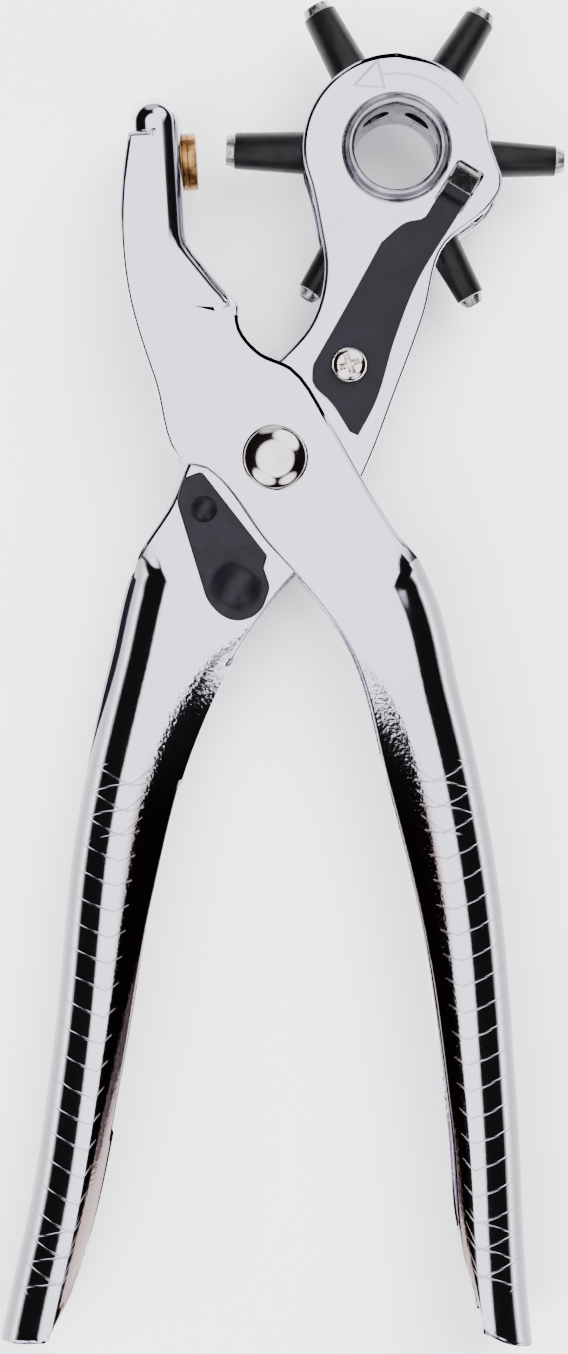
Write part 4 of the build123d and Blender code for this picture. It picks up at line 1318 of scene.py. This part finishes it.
# ------------------------------------------------------------------ pivot
@dataclass
class Pivot:
    """The rivet, spacer, washer and opening spring at the levers' pivot.

    Each of the spring's legs is its length and its direction in degrees from +X.
    """

    shank: float = 3.2
    head: float = 5.5
    head_height: float = 2.4
    tail: float = 4.3
    tail_height: float = 1.4
    washer_thickness: float = 0.8
    spacer: float = 4.4
    wire: float = 1.6
    turns: int = 3
    left_leg: Point = (25.2, 220.0)
    right_leg: Point = (26.6, -40.0)

    def rivet(self) -> bpy.types.Object:
        """The rivet: a polished dome in front and the spread tail behind."""
        back = SIZE.anvil_out + self.washer_thickness
        rim, rise = SIZE.anvil_out + 0.12, self.head_height - 0.12
        front = [(self.head * math.sin(math.radians(a)), rim + rise * math.cos(math.radians(a)))
                 for a in range(0, 91, 3)]
        tail = [(radius, -height) for radius, height in reversed(dome(self.tail, self.tail_height, back, 12))]
        profile = [*front, (self.head - 0.12, SIZE.anvil_out), (self.shank, SIZE.anvil_out),
                   (self.shank, -back), *tail]
        shape = moved(spun(profile, 96, closed=False), *SIZE.pivot)
        return finish_mesh("pivot_rivet_domed", shape, (NICKEL,))

    def sleeve(self) -> bpy.types.Object:
        """The spacer sleeve that the punch lever turns on."""
        half = SIZE.anvil_in
        profile = [(self.shank, -half), (self.spacer - 0.15, -half), (self.spacer, -half + 0.15),
                   (self.spacer, half - 0.15), (self.spacer - 0.15, half), (self.shank, half)]
        return finish_mesh("pivot_spacer_sleeve", moved(spun(profile, 72), *SIZE.pivot), (ZINC,))

    def washer(self) -> bpy.types.Object:
        """The plain washer under the rivet's tail."""
        low, high, r = -SIZE.anvil_out - self.washer_thickness, -SIZE.anvil_out, self.tail + 0.9
        profile = [(self.shank, low), (r - 0.15, low), (r, low + 0.15), (r, high - 0.1), (r - 0.1, high),
                   (self.shank, high)]
        return finish_mesh("pivot_plain_washer", moved(spun(profile, 72), *SIZE.pivot), (NICKEL,))

    def spring(self) -> bpy.types.Object:
        """The torsion spring round the sleeve, one leg against each handle's spine."""
        radius = self.spacer + SIZE.gap + self.wire / 2
        pitch = self.wire + 0.12
        first, last = self.left_leg[1] + 90, self.right_leg[1] - 90 + 360 * self.turns
        height = pitch * (last - first) / 360
        points = []
        steps = 60
        for i in range(steps + 1):
            share = i / steps
            x, y = turned((radius, 0), first + (last - first) * share)
            points.append((SIZE.pivot[0] + x, SIZE.pivot[1] + y, -height / 2 + height * share))
        start = turned((self.left_leg[0], 0), self.left_leg[1])
        end = turned((self.right_leg[0], 0), self.right_leg[1])
        points.insert(0, (points[0][0] + start[0], points[0][1] + start[1], -height / 2))
        points.append((points[-1][0] + end[0], points[-1][1] + end[1], height / 2))
        curve = bpy.data.curves.new("opening_spring_path", "CURVE")
        curve.dimensions = "3D"
        curve.bevel_depth = self.wire / 2 * MM
        curve.bevel_resolution = 5
        curve.use_fill_caps = True
        line = curve.splines.new("POLY")
        line.points.add(len(points) - 1)
        for spot, point in zip(line.points, points):
            spot.co = (point[0] * MM, point[1] * MM, point[2] * MM, 1.0)
        holder = bpy.data.objects.new("opening_spring_path", curve)
        bpy.context.scene.collection.objects.link(holder)
        graph = bpy.context.evaluated_depsgraph_get()
        mesh = bpy.data.meshes.new_from_object(holder.evaluated_get(graph), depsgraph=graph)
        bpy.data.objects.remove(holder)
        mesh.shade_smooth()
        mesh.materials.clear()
        mesh.materials.append(WIRE.material())
        piece = bpy.data.objects.new("opening_spring_coil", mesh)
        bpy.context.scene.collection.objects.link(piece)
        return piece


# ------------------------------------------------------------------ studio
@dataclass
class Studio:
    """The pale floor, the soft light and the camera.

    Each window is its azimuth, elevation and half width in degrees, and its share of the full light.
    """

    camera_at: tuple[float, float, float] = (-18.74, -88.02, 434.0)
    lens: float = 68.3
    floor_size: float = 4.0
    strength: float = 2.9
    windows: tuple[tuple[float, float, float, float], ...] = (
        (60, 42, 24, 1.0), (-57, 36, 17, 0.9), (238, 40, 23, 0.95), (98, 16, 20, 0.35),
    )
    lamp_aim: tuple[float, float, float] = (-0.02, -0.09, 0.0)

    def floor(self) -> None:
        """A pale floor just under the tool, with a faint paper grain."""
        bm = bmesh.new()
        bmesh.ops.create_grid(bm, x_segments=8, y_segments=8, size=self.floor_size / 2)
        mesh = bpy.data.meshes.new("floor")
        bm.to_mesh(mesh)
        bm.free()
        paper = Finish("matt_white_studio_paper", "F7F7F8", "F4F4F6", 0.0, 0.8, 0.05, blotch_mm=80,
                       grain_mm=2, bump=0.05, bump_mm=0.02, specular=0.1)
        mesh.materials.append(paper.material())
        made = bpy.data.objects.new("floor", mesh)
        mesh.transform(Matrix.Translation((0, 0, CAD_BOX[0].z - 0.2 * MM)))
        bpy.context.scene.collection.objects.link(made)

    def world(self) -> None:
        """A studio dome: white overhead, black flags lower down, and a few soft windows."""
        world = bpy.data.worlds.new("studio")
        bpy.context.scene.world = world
        world.use_nodes = True
        tree = world.node_tree
        tree.nodes.clear()
        way = add_node(tree, "TexCoord").outputs["Generated"]
        up = add_node(tree, "SeparateXYZ", {0: way}).outputs[2]
        overhead = add_node(tree, "MapRange", {0: up, 1: 0.82, 2: 0.89}, **EASED)
        low = add_node(tree, "MapRange", {0: up, 1: 0.14, 2: 0.0}, **EASED)
        horizon = add_node(tree, "Math", {0: low, 1: 0.35}, operation="MULTIPLY")
        light = add_node(tree, "Math", {0: overhead, 1: horizon}, operation="ADD")
        for azimuth, elevation, width, share in self.windows:
            a, e = math.radians(azimuth), math.radians(elevation)
            aim = (math.cos(a) * math.cos(e), math.sin(a) * math.cos(e), math.sin(e))
            dot = add_node(tree, "VectorMath", {0: way, 1: aim}, operation="DOT_PRODUCT").outputs["Value"]
            edge = math.cos(math.radians(width))
            window = add_node(tree, "MapRange", {0: dot, 1: edge - 0.03, 2: edge + 0.03, 3: 0.0, 4: share},
                              **EASED)
            light = add_node(tree, "Math", {0: light, 1: window}, operation="MAXIMUM")
        colour = add_node(tree, "Mix", {0: light, 6: linear("0C0A0A"), 7: linear("F8F6FF")}, data_type="RGBA")
        back = add_node(tree, "Background", {"Color": colour.outputs[2], "Strength": self.strength})
        tree.links.new(back.outputs[0], add_node(tree, "OutputWorld").inputs[0])

    def lamps(self) -> None:
        """Two big soft lamps that light the floor and the dark pieces, unseen in the chrome."""
        for name, place, power, size in (("key", (0.5, 0.6, 1.2), 56.0, 1.2),
                                         ("fill", (-0.7, -0.5, 1.1), 42.0, 1.4)):
            lamp = bpy.data.lights.new(name, "AREA")
            lamp.energy = power
            lamp.size = size
            made = bpy.data.objects.new(name, lamp)
            made.location = place
            made.rotation_mode = "QUATERNION"
            made.rotation_quaternion = (Vector(place) - Vector(self.lamp_aim)).to_track_quat("Z", "Y")
            made.visible_glossy = False
            bpy.context.scene.collection.objects.link(made)

    def camera(self) -> None:
        """The camera straight above the tool."""
        data = bpy.data.cameras.new("camera")
        data.lens = self.lens
        data.sensor_width = 36.0
        data.clip_start = 0.01
        made = bpy.data.objects.new("camera", data)
        made.location = Vector(self.camera_at) * MM
        bpy.context.scene.collection.objects.link(made)
        bpy.context.scene.camera = made

    def build(self) -> None:
        """Set the whole stage."""
        self.floor()
        self.world()
        self.lamps()
        self.camera()


# ------------------------------------------------------------------ put together
def mount(piece: bpy.types.Object, body: Body, slot: Slot, *nodes: str) -> None:
    """Fix a piece to its body and let it stand for its CAD nodes."""
    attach(piece, body.value)
    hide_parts(*nodes)
    LOG.info("%s rides on %s, %d faces", piece.name, body.value, len(piece.data.polygons))


def main() -> None:
    """Build every piece and fix it to its body."""
    logging.basicConfig(level=logging.INFO)
    anvil_lever, punch_lever, turret = AnvilLever(), PunchLever(), Turret()
    leaf, latch, pivot = IndexSpring(), Latch(), Pivot()
    mount(anvil_lever.build(), Body.ANVIL, Slot.LEVER, "anvil_lever")
    mount(anvil_lever.anvil(), Body.ANVIL, Slot.BRASS, "anvil")
    mount(punch_lever.build(), Body.PUNCH, Slot.LEVER, "punch_lever")
    mount(turret.drum(), Body.TURRET, Slot.DRUM, "turret_drum")
    for index, hole in enumerate(turret.holes):
        mount(turret.tube(index), Body.TURRET, Slot.OXIDE, f"punch_tube_{hole * 10:.0f}")
    mount(turret.bush(1), Body.PUNCH, Slot.HUB, "hub_bush_front")
    mount(turret.bush(-1), Body.PUNCH, Slot.HUB, "hub_bush_rear")
    mount(leaf.leaf(), Body.PUNCH, Slot.BLACKENED, "index_spring")
    mount(leaf.screw(), Body.PUNCH, Slot.BRIGHT, "index_screw")
    mount(leaf.pillar(), Body.PUNCH, Slot.DRUM, "index_bush")
    mount(latch.plate(), Body.LATCH, Slot.BLACKENED, "latch_plate")
    mount(latch.rivet(), Body.PUNCH, Slot.BLACKENED, "latch_rivet")
    mount(latch.washer(), Body.PUNCH, Slot.WIRE, "latch_washer")
    mount(pivot.rivet(), Body.ANVIL, Slot.BRIGHT, "pivot_rivet")
    mount(pivot.sleeve(), Body.ANVIL, Slot.DRUM, "pivot_spacer")
    mount(pivot.washer(), Body.ANVIL, Slot.BRIGHT, "pivot_washer")
    mount(pivot.spring(), Body.ANVIL, Slot.WIRE, "opening_spring")
    Studio().build()


if __name__ == "__main__":
    main()
